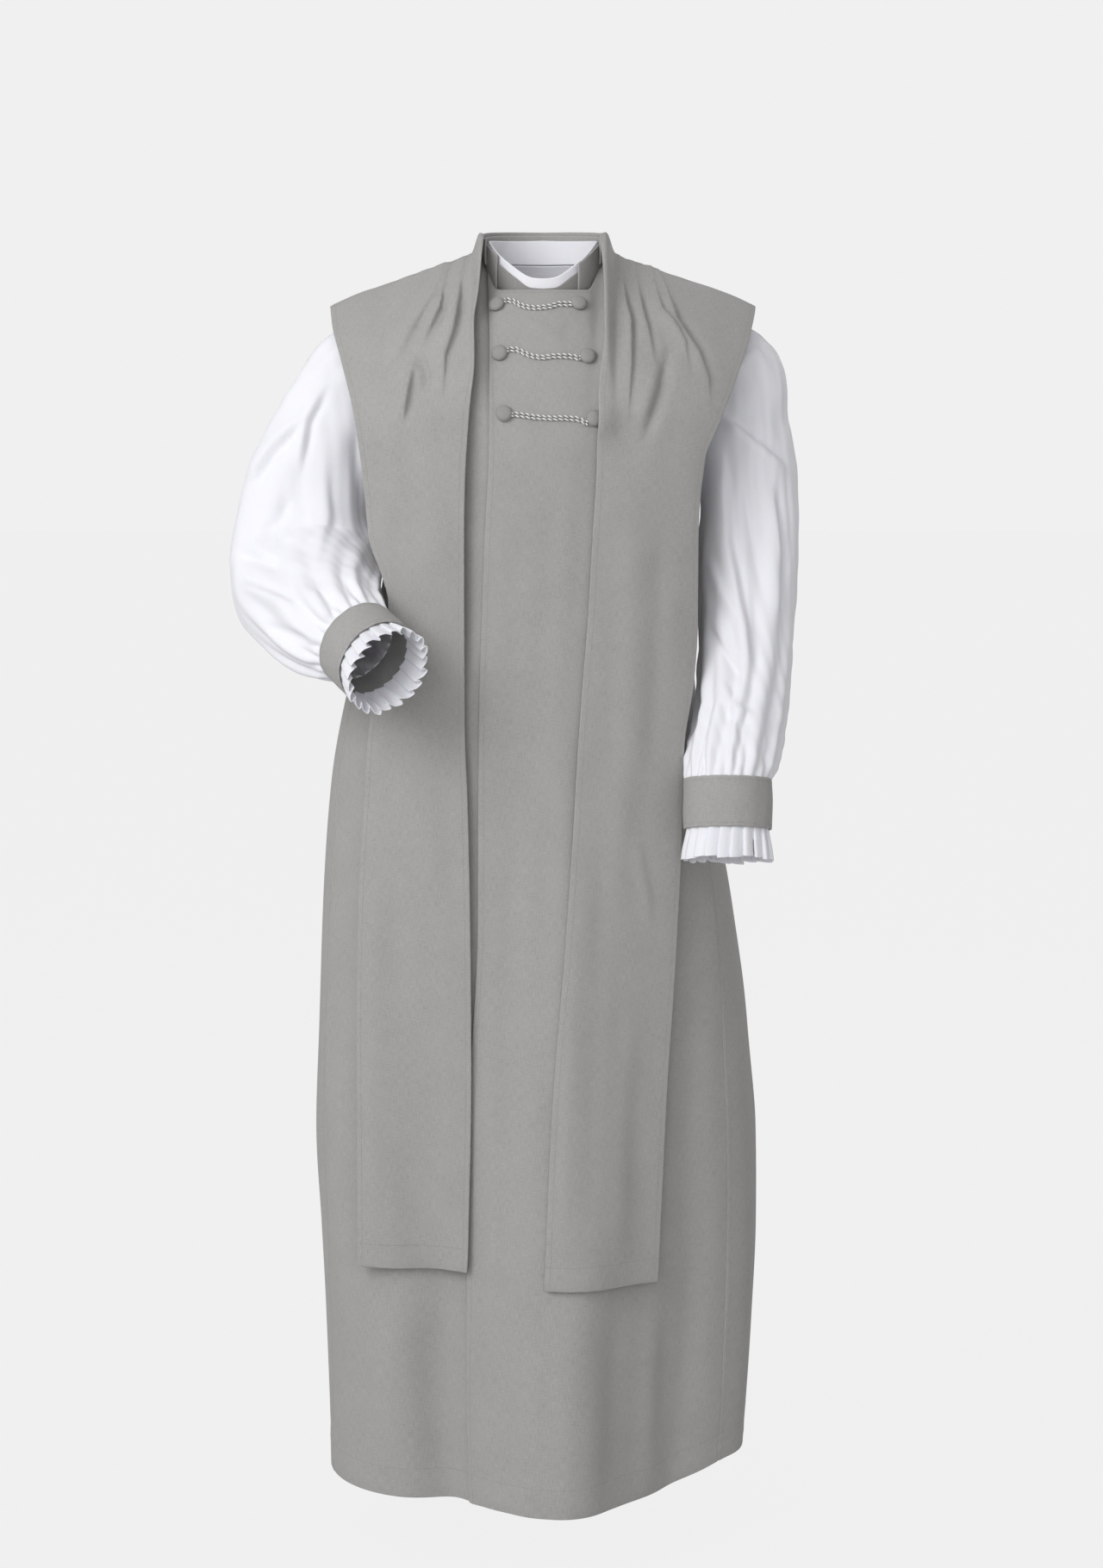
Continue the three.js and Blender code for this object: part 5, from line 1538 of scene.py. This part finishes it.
def close_tree(
    nodes: Nodes, end: bpy.types.Node, shape: bpy.types.NodeSocket, finish: bpy.types.Material,
) -> bpy.types.NodeTree:
    """Makes copies real, gives them their finish and hands them to the tree's output.

    Args:
        nodes: the tree's nodes.
        end: its output node.
        shape: the geometry to hand over.
        finish: the material.

    Returns:
        The finished tree.
    """
    real = nodes.out("GeometryNodeRealizeInstances", {0: shape})
    done = nodes.out("GeometryNodeSetMaterial", {"Geometry": real, "Material": finish})
    nodes.feed(end, {0: done})
    return nodes.tree


@dataclass
class StitchRow:
    """Rows of straight stitches that follow lines, grown with Geometry Nodes."""

    name: str
    thread: bpy.types.Material
    length: float = 2.3
    step: float = 3.2
    radius: float = 0.24

    def values(self) -> dict[str, float]:
        """Returns the tree's inputs in metres."""
        return {"Step": self.step * MM, "Length": self.length * MM, "Radius": self.radius * MM}

    def tree(self) -> bpy.types.NodeTree:
        """Builds the tree: lines, cut into steps, with one small rounded stitch on each."""
        nodes, start, end = tree_with("stitch_row", self.values())
        given = start.outputs
        ball = nodes.out("GeometryNodeMeshIcoSphere", {"Radius": 1.0, "Subdivisions": 1})
        half = nodes.math("MULTIPLY", given["Length"], 0.5)
        size = nodes.out("ShaderNodeCombineXYZ", {0: half, 1: given["Radius"], 2: given["Radius"]})
        tangent = nodes.out("GeometryNodeInputTangent")
        turn = nodes.out("FunctionNodeAlignEulerToVector", {"Vector": tangent}, axis="X")
        points = cut_lines(nodes, start, given["Step"])
        put = nodes.out(
            "GeometryNodeInstanceOnPoints",
            {"Points": points, "Instance": ball, "Rotation": turn, "Scale": size},
        )
        return close_tree(nodes, end, put, self.thread)

    def piece(self, lines: Sequence[Array], slot: str) -> Piece:
        """Grows the stitches on the lines and returns them as one piece."""
        carrier = line_object(self.name, lines)
        return Piece(grown(carrier, self.tree(), self.values(), self.thread), (), slot)


@dataclass
class TwistedCords:
    """Doubled cords between the buttons, each strand twisted from plies with Geometry Nodes."""

    cord: bpy.types.Material
    strand: float = 1.4
    ply: float = 0.8
    turn: float = 5.6
    plies: int = 2

    def values(self) -> dict[str, float]:
        """Returns the tree's inputs in metres."""
        orbit = (self.strand - self.ply) * MM
        return {"Turn": self.turn * MM, "Orbit": orbit, "Radius": self.ply * MM}

    def tree(self) -> bpy.types.NodeTree:
        """Builds the tree: every ply runs round the line as a helix and becomes a round thread."""
        nodes, start, end = tree_with("twisted_cord", self.values())
        given = start.outputs
        line = cut_lines(nodes, start, 0.5 * MM)
        along = nodes.add("GeometryNodeSplineParameter").outputs["Length"]
        turns = nodes.math("DIVIDE", along, given["Turn"])
        normal = nodes.out("GeometryNodeInputNormal")
        tangent = nodes.out("GeometryNodeInputTangent")
        ring = nodes.out(
            "GeometryNodeCurvePrimitiveCircle", {"Resolution": 8, "Radius": given["Radius"]}
        )
        join = nodes.add("GeometryNodeJoinGeometry")
        for k in range(self.plies):
            angle = nodes.math("MULTIPLY", nodes.math("ADD", turns, k / self.plies), 2 * math.pi)
            spin = nodes.out(
                "ShaderNodeVectorRotate", {"Vector": normal, "Axis": tangent, "Angle": angle},
                rotation_type="AXIS_ANGLE",
            )
            away = nodes.out(
                "ShaderNodeVectorMath", {0: spin, "Scale": given["Orbit"]}, operation="SCALE"
            )
            moved = nodes.out("GeometryNodeSetPosition", {0: line, "Offset": away})
            tube = nodes.out("GeometryNodeCurveToMesh", {0: moved, 1: ring, "Fill Caps": True})
            # Every other ply is marked so that the cord's material paints it dark, as painted shade
            # for the grooves.
            marked = nodes.out(
                "GeometryNodeStoreNamedAttribute",
                {0: tube, "Name": "ply", "Value": float(k % 2)}, data_type="FLOAT",
            )
            nodes.feed(join, {0: marked})
        return close_tree(nodes, end, join.outputs[0], self.cord)

    def piece(self, name: str, node: str, strands: Sequence[Array]) -> Piece:
        """Grows one cord of two strands."""
        made = grown(line_object(name, strands), self.tree(), self.values(), self.cord)
        return Piece(made, (node,), "silver_cord")


@dataclass
class Fastenings:
    """Three pairs of cloth buttons on the over front, each pair joined by a doubled cord."""

    front: ClothSheet
    button: bpy.types.Material
    cord: bpy.types.Material
    radius: float = 8.3
    height: float = 6.6
    # x and z of each pair's right and left button
    places: tuple[tuple[float, ...], ...] = (
        (-47, -46, 37, -45), (-44, -96, 46, -99), (-39, -157, 53, -162),
    )
    # share of the radius, share of the height
    profile: tuple[tuple[float, float], ...] = (
        (0, 0), (0.6, 0), (0.8, 0.02), (0.93, 0.14), (1.0, 0.34), (0.985, 0.5), (0.92, 0.66),
        (0.8, 0.8), (0.62, 0.91), (0.42, 0.97), (0.2, 0.995), (0, 1.0),
    )
    # share of the way between a pair, drop in mm: one table for each cord
    sags: tuple[tuple[tuple[float, float], ...], ...] = (
        ((0, -5.4), (0.12, -4.2), (0.27, 0.6), (0.47, 3.2), (0.68, 2.2), (0.82, -0.5), (1, -0.4)),
        (
            (0, -4.3), (0.12, -4.7), (0.22, -2.2), (0.34, 1), (0.48, 2.2), (0.65, 0.4),
            (0.82, 0), (1, 1.4),
        ),
        ((0, 0.3), (0.14, 0.6), (0.34, 1.5), (0.54, 1.6), (0.7, 0.7), (0.86, 0.8), (1, 4.6)),
    )

    def __post_init__(self) -> None:
        """Builds the surface that the fastenings lie on."""
        outer = self.front.layers()[0]
        rows, cols = outer.shape[:2]
        index = np.arange(rows * cols).reshape(rows, cols)
        quads = np.stack([index[:-1, :-1], index[1:, :-1], index[1:, 1:], index[:-1, 1:]], -1)
        points, faces = outer.reshape(-1, 3).tolist(), quads.reshape(-1, 4).tolist()
        self.tree = BVHTree.FromPolygons(points, faces)

    def front_y(self, x: float, z: float) -> float:
        """Returns y of the cloth in front at x and z, in mm."""
        hit = self.tree.ray_cast(Vector((x, -600, z)), Vector((0, 1, 0)))[0]
        return hit.y if hit else -120.0

    def seat(self, x: float, z: float, reach: float) -> tuple[Array, Array]:
        """Finds where a round thing of a given reach rests on the cloth.

        Args:
            x: its middle's x.
            z: its middle's z.
            reach: its radius.

        Returns:
            The middle of its underside and its outward direction.
        """
        turns = [i * math.pi / 4 for i in range(8)]
        rim = [(x + reach * math.cos(t), z + reach * math.sin(t)) for t in turns]
        touch = np.array([(a, self.front_y(a, b), b) for a, b in rim])
        wide, tall = touch[0] - touch[4], touch[2] - touch[6]
        out = np.cross(wide, tall)
        out /= np.linalg.norm(out)
        out = out if out[1] < 0 else -out
        middle = np.array([x, self.front_y(x, z), z])
        lift = max(float((p - middle) @ out) for p in touch)
        return middle + out * max(lift, 0.0), out

    def one_button(self, name: str, node: str, x: float, z: float) -> Piece:
        """Makes a cloth-covered button with small tucks where its cover turns under."""
        seat, out = self.seat(x, z, self.radius * 0.8)
        across = np.cross(out, (0.0, 0.0, 1.0))
        across /= np.linalg.norm(across)
        up = np.cross(across, out)
        count = 64
        turn = np.arange(count) * 2 * math.pi / count
        points, faces = [], []
        for share, rise in self.profile[1:-1]:
            tucks = 1 - 0.012 * np.cos(16 * turn) * (1 - rise) ** 2
            ring = (
                seat + out * (rise * self.height)
                + (across * np.cos(turn)[:, None] + up * np.sin(turn)[:, None])
                * (share * self.radius * tucks)[:, None]
            )
            points.append(ring)
        rings = len(points)
        points = np.concatenate(points + [seat[None], (seat + out * self.height)[None]])
        for near in range(0, (rings - 1) * count, count):
            far = near + count
            for k in range(count):
                nxt = (k + 1) % count
                faces.append((near + k, near + nxt, far + nxt, far + k))
        low, high = rings * count, rings * count + 1
        for k in range(count):
            nxt = (k + 1) % count
            faces.append((low, nxt, k))
            faces.append((high, (rings - 1) * count + k, (rings - 1) * count + nxt))
        mesh = bpy.data.meshes.new(name)
        mesh.from_pydata((points * MM).tolist(), [], faces)
        layer = mesh.uv_layers.new(name="cloth")
        middle = seat + out * self.height
        for loop in mesh.loops:
            spot = points[loop.vertex_index] - middle
            layer.data[loop.index].uv = (float(spot @ across) * MM, float(spot @ up) * MM)
        mesh.shade_smooth()
        mesh.materials.append(self.button)
        return Piece(placed(name, mesh), (node,), "button_cloth")

    def strands(self, pair: tuple[float, ...], sag: Sequence[tuple[float, float]]) -> list[Array]:
        """Works out the two strands of one cord, lying side by side on the cloth.

        Args:
            pair: x and z of the pair's right and left button.
            sag: the cord's drop along its way.

        Returns:
            The two strands' middle lines.
        """
        twist = TwistedCords(self.cord)
        drop = columns(sag, 0, 1)
        share = np.linspace(0, 1, 90)
        made = []
        for side in (-1, 1):
            apart = side * twist.strand * 1.04 * (1 + 0.12 * np.sin(share * 9 + side))
            x = lerp(pair[0] + self.radius * 0.9, pair[2] - self.radius * 0.9, share)
            z = lerp(pair[1], pair[3], share) - drop(share) + apart
            ends = smooth(1 - share * 14) + smooth(1 - (1 - share) * 14)
            y = np.array([self.front_y(a, b) for a, b in zip(x, z)])
            y = y - twist.strand - 0.25 - 1.1 * ends
            made.append(np.stack([x, y, z], -1))
        return made

    def pieces(self) -> list[Piece]:
        """Builds the six buttons and the three cords."""
        made = []
        twist = TwistedCords(self.cord)
        for i, (pair, sag) in enumerate(zip(self.places, self.sags), start=1):
            made.append(self.one_button(f"cloth_button_right_{i}", f"button_right_{i}", *pair[:2]))
            made.append(self.one_button(f"cloth_button_left_{i}", f"button_left_{i}", *pair[2:]))
            made.append(twist.piece(f"twisted_cord_{i}", f"cord_{i}", self.strands(pair, sag)))
        return made


# ================= finishes =================


def blank(name: str) -> tuple[bpy.types.Material, Nodes, bpy.types.Node]:
    """Makes a node material and returns it with its nodes and its shader."""
    material = bpy.data.materials.new(name)
    material.use_nodes = True
    return material, Nodes(material.node_tree), material.node_tree.nodes["Principled BSDF"]


@dataclass(frozen=True)
class Cloth:
    """A woven cloth: threads that vary a little in shade, and a fine relief along them."""

    name: str
    light: tuple[float, float, float]
    dark: tuple[float, float, float]
    roughness: float
    sheen: float
    warp_mm: tuple[float, float]
    weft_mm: tuple[float, float]
    relief: float
    mottle: float = 0.3
    rib_mm: float = 0.0
    specular: float = 0.2
    subsurface: float = 0.0

    def material(self) -> bpy.types.Material:
        """Builds the node material, laid out on the cloth's own UV map in metres."""
        material, nodes, shader = blank(self.name)
        uv = nodes.out("ShaderNodeUVMap", uv_map="cloth")
        threads = []
        for wide, long in (self.warp_mm, self.weft_mm):
            scale = nodes.out(
                "ShaderNodeVectorMath", {0: uv, 1: (1 / (wide * MM), 1 / (long * MM), 1.0)},
                operation="MULTIPLY",
            )
            grain = {0: scale, "Scale": 1.0, "Detail": 2.0, "Roughness": 0.6}
            threads.append(nodes.out("ShaderNodeTexNoise", grain))
        both = nodes.math("ADD", *threads)
        spread = nodes.out("ShaderNodeMapRange", {0: both, 1: 0.55, 2: 1.45})
        slow = nodes.out("ShaderNodeTexNoise", {0: uv, "Scale": 22.0, "Detail": 3.0})
        swell = nodes.math("MULTIPLY_ADD", slow, self.mottle, -self.mottle / 2)
        share = nodes.out("ShaderNodeMath", {0: spread, 1: swell}, operation="ADD", use_clamp=True)
        shades = {0: share, 6: (*self.dark, 1.0), 7: (*self.light, 1.0)}
        colour = nodes.add("ShaderNodeMix", shades, data_type="RGBA").outputs[2]
        height = both
        if self.rib_mm:
            wave = {
                0: uv, "Scale": 0.314 / (self.rib_mm * MM), "Distortion": 1.2, "Detail": 1.0,
                "Detail Scale": 40.0,
            }
            rib = nodes.add("ShaderNodeTexWave", wave, bands_direction="Y").outputs[1]
            height = nodes.math("MULTIPLY_ADD", rib, 0.7, both)
        bumps = {"Strength": self.relief, "Distance": 0.25 * MM, "Height": height}
        nodes.feed(shader, {
            "Base Color": colour, "Normal": nodes.out("ShaderNodeBump", bumps),
            "Roughness": self.roughness, "Specular IOR Level": self.specular,
            "Sheen Weight": self.sheen, "Sheen Roughness": 0.45,
        })
        if self.subsurface:
            nodes.feed(shader, {"Subsurface Weight": self.subsurface, "Subsurface Scale": 0.002})
        return material


GREY = Cloth(
    "grey_wool", (0.46, 0.452, 0.441), (0.31, 0.304, 0.296), 0.86, 0.12, (0.7, 9.0), (7.0, 0.6),
    0.75, 0.3, 0.9,
)
DARK = Cloth(
    "dark_grey_wool", (0.33, 0.325, 0.318), (0.26, 0.256, 0.25), 0.88, 0.1, (0.7, 9.0),
    (7.0, 0.6), 0.5, 0.3, 0.9,
)
BUTTON = Cloth(
    "button_wool", (0.36, 0.355, 0.345), (0.26, 0.255, 0.248), 0.82, 0.14, (0.8, 1.6), (1.6, 0.8),
    0.6, 0.2,
)
WHITE = Cloth(
    "white_cotton", (0.865, 0.866, 0.905), (0.81, 0.812, 0.857), 0.7, 0.15, (0.5, 3.0), (3.0, 0.5),
    0.3, 0.2, 0.0, 0.3, 0.08,
)


@dataclass(frozen=True)
class PlainFinish:
    """A thread or cord of one colour; a cord can take painted shade on every other ply."""

    name: str
    colour: tuple[float, float, float]
    roughness: float
    sheen: float
    specular: float
    # The darker colour on every other ply is painted shade for the grooves between the plies.
    painted_groove_shade: tuple[float, float, float] | None = None

    def material(self) -> bpy.types.Material:
        """Builds the material; the painted groove shade, where given, goes on every other ply."""
        material, nodes, shader = blank(self.name)
        nodes.feed(shader, {
            "Base Color": (*self.colour, 1.0), "Roughness": self.roughness,
            "Sheen Weight": self.sheen, "Specular IOR Level": self.specular,
        })
        if self.painted_groove_shade:
            ply = nodes.add("ShaderNodeAttribute", attribute_name="ply").outputs["Fac"]
            shades = {0: ply, 6: (*self.colour, 1.0), 7: (*self.painted_groove_shade, 1.0)}
            shade = nodes.add("ShaderNodeMix", shades, data_type="RGBA").outputs[2]
            nodes.feed(shader, {"Base Color": shade})
        return material


GREY_THREAD = PlainFinish("grey_thread", (0.3, 0.297, 0.29), 0.7, 0.1, 0.3)
# Every other ply of the silver cord takes a dark colour that is painted shade for the grooves of
# the twist.
SILVER_CORD = PlainFinish(
    "silver_cord_twist", (0.8, 0.8, 0.79), 0.35, 0.1, 0.5, (0.27, 0.27, 0.262)
)


@dataclass(frozen=True)
class StudioPaper:
    """Pale paper, evenly lit, that runs on into the background."""

    name: str = "studio_paper"
    level: float = 0.871

    def material(self) -> bpy.types.Material:
        """Builds the material."""
        material, nodes, shader = blank(self.name)
        nodes.feed(shader, {
            "Base Color": (0.02, 0.02, 0.02, 1.0), "Specular IOR Level": 0.0, "Roughness": 1.0,
            "Emission Color": (1.0, 1.0, 1.0, 1.0), "Emission Strength": self.level * 0.98,
        })
        return material


# ================= the studio =================


@dataclass
class Studio:
    """Floor, soft lights and the camera."""

    floor_z: float = -1.36
    floor_half: float = 30.0
    level: float = 0.871
    ambient: float = 0.5
    dim_side: float = 0.08
    lens: float = 77.9
    eye: tuple[float, float, float] = (0.009, -3.6, -0.15)
    tilt: float = 83.66
    aim: tuple[float, float, float] = (0, 0, -0.55)
    # name, x, y, z, size in metres, watts
    lights: tuple[tuple[str, float, float, float, float, float], ...] = (
        ("key", -2.1, -2.4, 1.35, 2.0, 60.0),
        ("fill", -0.2, -4.0, 0.1, 3.0, 34.0),
        ("rim", 1.2, 2.6, 1.0, 2.4, 26.0),
    )

    def floor(self) -> None:
        """Lays the pale floor, which gives no light of its own to the set."""
        mesh = bpy.data.meshes.new("floor")
        signs = ((-1, -1), (1, -1), (1, 1), (-1, 1))
        corners = [(x * self.floor_half, y * self.floor_half, self.floor_z) for x, y in signs]
        mesh.from_pydata(corners, [], [(0, 1, 2, 3)])
        mesh.materials.append(StudioPaper(level=self.level).material())
        floor = placed("floor", mesh)
        floor.visible_diffuse = floor.visible_glossy = floor.visible_shadow = False

    def surroundings(self) -> None:
        """Makes the pale room: soft light from all round, a little less from the wearer's left."""
        world = bpy.data.worlds.new("studio")
        bpy.context.scene.world = world
        world.use_nodes = True
        nodes = Nodes(world.node_tree)
        where = nodes.add("ShaderNodeTexCoord").outputs["Generated"]
        across = nodes.out("ShaderNodeSeparateXYZ", {0: where})
        soft = nodes.math("MULTIPLY_ADD", across, -self.dim_side, self.ambient)
        seen = nodes.add("ShaderNodeLightPath").outputs["Is Camera Ray"]
        level = nodes.out("ShaderNodeMix", {0: seen, 2: soft, 3: self.level}, data_type="FLOAT")
        back = world.node_tree.nodes["Background"]
        nodes.feed(back, {0: (1.0, 1.0, 1.0, 1.0), "Strength": level})

    def light(self, name: str, place: Vector, size: float, power: float) -> None:
        """Hangs a square soft light that looks at the middle of the set."""
        data = bpy.data.lights.new(name, "AREA")
        data.size, data.energy = size, power
        lamp = placed(name, data)
        lamp.location = place
        aim = Vector(self.aim) - place
        lamp.rotation_euler = aim.to_track_quat("-Z", "Y").to_euler()

    def camera(self) -> None:
        """Places the camera in front, a little above the chest, looking slightly down."""
        data = bpy.data.cameras.new("camera")
        data.lens, data.sensor_width = self.lens, 36.0
        camera = placed("camera", data)
        camera.location = self.eye
        camera.rotation_euler = (math.radians(self.tilt), 0, 0)
        bpy.context.scene.camera = camera

    def build(self) -> None:
        """Sets up everything round the set."""
        self.floor()
        self.surroundings()
        for name, x, y, z, size, power in self.lights:
            self.light(name, Vector((x, y, z)), size, power)
        self.camera()
        bpy.context.scene.view_settings.view_transform = "Standard"


# ================= the whole set =================


def stitched_edges(sheets: dict[str, ClothSheet]) -> list[Array]:
    """Finds the lines of the topstitching on the grey pieces.

    Args:
        sheets: the grey pieces' sheets by name.

    Returns:
        The lines in mm.
    """
    table = (
        ("gown_front_left", "left", 5.0), ("gown_front_left", "bottom", 30.0),
        ("gown_front_left", "top", 5.0), ("gown_front_right", "bottom", 30.0),
        ("gown_back", "bottom", 30.0), ("gown_back", "left", 4.0), ("gown_back", "right", 4.0),
        ("loose_right", "left", 5.0), ("loose_right", "right", 5.0),
        ("loose_right", "bottom", 24.0), ("loose_left", "left", 5.0),
        ("loose_left", "right", 5.0), ("loose_left", "bottom", 24.0), ("loose_left", "top", 4.0),
        ("loose_right", "top", 4.0), ("gown_band", "top", 3.0), ("gown_band", "bottom", 3.0),
        ("outer_band", "top", 3.0), ("cuff_right", "top", 3.0), ("cuff_right", "bottom", 3.0),
        ("cuff_left", "top", 3.0), ("cuff_left", "bottom", 3.0),
    )
    lines = []
    for name, edge, inset in table:
        sheet = sheets[name]
        normal = sheet.layers()[2]
        line = arc_inset(sheet.grid, normal, edge, inset, sheet.thickness / 2 + 0.05)
        lines.append(np.concatenate([line, line[:1]]) if sheet.closed else line)
    return lines


SLEEVE_RIGHT = (
    (-160, 0, -128, 0, 0, 1, 82, 52, 0), (-193, 0, -147, -0.36, 0, 0.93, 72, 48, 0),
    (-209, 0, -166, -0.75, 0, 0.6, 65, 51, 0), (-233, 0, -207, -0.9, 0, 0.42, 64, 56, 0),
    (-247, 2, -258, -0.96, 0, 0.25, 70, 60, 0), (-249, -12, -308, -1, 0, 0.05, 79, 60, 0.4),
    (-244, -54, -339, -0.95, 0, -0.3, 78, 54, 1), (-227, -99, -360, -0.86, 0, -0.5, 68, 50, 1.8),
    (-211, -137, -374, -0.75, 0, -0.66, 56, 45, 2.8),
    (-197, -155, -382, -0.68, 0, -0.74, 48, 39, 2.6),
    (-188, -168, -387, -0.66, 0, -0.75, 43.2, 35.2, 1),
)
SLEEVE_LEFT = (
    (160, 0, -128, 0, 0, 1, 82, 52, 0), (193, 0, -146, 0.36, 0, 0.93, 72, 48, 0),
    (209, -2, -184, 0.93, 0, 0.36, 49.5, 51, 0), (215, -8, -240, 1, 0, 0.08, 49.5, 54, 0),
    (214, -22, -310, 1, 0, 0, 51.5, 56, 0.3), (213, -40, -375, 1, 0, 0, 49, 54, 0.8),
    (209, -70, -436, 1, 0, 0, 47, 49, 1.6), (202, -101, -484, 1, 0, 0, 45, 44, 2.6),
    (194, -125, -514, 1, 0, 0, 44.5, 38.5, 2.6), (190, -137, -530, 1, 0, 0, 43.2, 35.2, 1),
)
CREASES_RIGHT = (
    Crease(((-222, -118), (-246, -164), (-256, -226)), 5.0, 15, 0.26, 0.4),
    Crease(((-245, -157), (-282, -192), (-312, -236)), 6.0, 16, 0.2, 0.3),
    Crease(((-199, -157), (-190, -230), (-181, -305)), -4.8, 12, 0.7, 0.3),
    Crease(((-230, -200), (-224, -262), (-236, -336)), 4.6, 19, 0.34, 0.45),
    Crease(((-326, -300), (-296, -306), (-262, -314)), -5.9, 12, 0.6, 0.3),
    Crease(((-318, -330), (-286, -340), (-248, -352)), 5.5, 15, 0.22, 0.3),
    Crease(((-262, -240), (-276, -270), (-300, -290)), -4.2, 13, 0.7, 0.3),
    Crease(((-290, -372), (-262, -378), (-232, -388)), -4.2, 11, 0.7, 0.3),
    Crease(((-238, -330), (-222, -352), (-206, -372)), 3.6, 9, 0.6, 0.3),
)
CREASES_LEFT = (
    Crease(((184, -158), (218, -186), (257, -218)), 6.0, 18, 0.2, 0.25),
    Crease(((195, -114), (212, -98), (226, -88)), 3.6, 10, 0.5, 0.3),
    Crease(((187, -183), (192, -291), (209, -377), (212, -439)), 6.5, 17, 0.22, 0.25),
    Crease(((206, -200), (216, -280), (228, -350)), -4.5, 13, 0.7, 0.3),
    Crease(((236, -220), (244, -300), (240, -390)), 5.0, 15, 0.25, 0.3),
    Crease(((167, -370), (193, -410), (210, -436)), -4.8, 10, 0.6, 0.3),
    Crease(((172, -300), (186, -340), (204, -372)), 3.6, 10, 0.6, 0.3),
    Crease(((182, -430), (198, -456), (222, -470)), 3.6, 9, 0.6, 0.3),
)
BACK_CREASES_RIGHT = (
    Crease(((-200, -150), (-214, -220), (-236, -300)), 3.4, 14, 0.6, 0.3),
    Crease(((-246, -160), (-268, -230), (-300, -300)), -3.2, 14, 0.7, 0.3),
    Crease(((-300, -320), (-266, -342), (-226, -366)), 3.2, 12, 0.6, 0.3),
)
BACK_CREASES_LEFT = (
    Crease(((196, -160), (206, -250), (220, -350)), 3.4, 13, 0.6, 0.3),
    Crease(((240, -180), (246, -280), (236, -400)), -3.0, 13, 0.7, 0.3),
    Crease(((176, -320), (192, -390), (206, -460)), 2.8, 11, 0.6, 0.3),
)


def main() -> None:
    logging.basicConfig(level=logging.INFO, format="%(message)s")
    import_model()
    grey, dark, white = GREY.material(), DARK.material(), WHITE.material()
    form = HollowForm()
    gown = GownBody(form, grey)
    pieces, sheets = gown.pieces()
    loose, loose_sheets = OuterPanels(form, grey).pieces()
    bands, band_sheets = NeckBands(grey, dark, white).pieces()
    rochet = RochetBody(gown, white)
    pieces += loose + bands + rochet.pieces()
    sheets |= loose_sheets | band_sheets
    arms = (
        (Side.RIGHT, SLEEVE_RIGHT, (0.42, -0.86, -0.29), CREASES_RIGHT, BACK_CREASES_RIGHT),
        (Side.LEFT, SLEEVE_LEFT, (-0.01, -0.22, -0.975), CREASES_LEFT, BACK_CREASES_LEFT),
    )
    for side, stations, axis, creases, back_creases in arms:
        sleeve = Sleeve(side, rochet, white, grey, stations, axis, creases, back_creases)
        more, cuff_sheets = sleeve.pieces()
        pieces += more
        sheets |= cuff_sheets
    buttons = Fastenings(sheets["gown_front_left"], BUTTON.material(), SILVER_CORD.material())
    pieces += buttons.pieces()
    stitches = StitchRow("grey_topstitching", GREY_THREAD.material())
    pieces.append(stitches.piece(stitched_edges(sheets), "grey_cloth"))
    for piece in pieces:
        piece.declare()
    Studio().build()


if __name__ == "__main__":
    main()
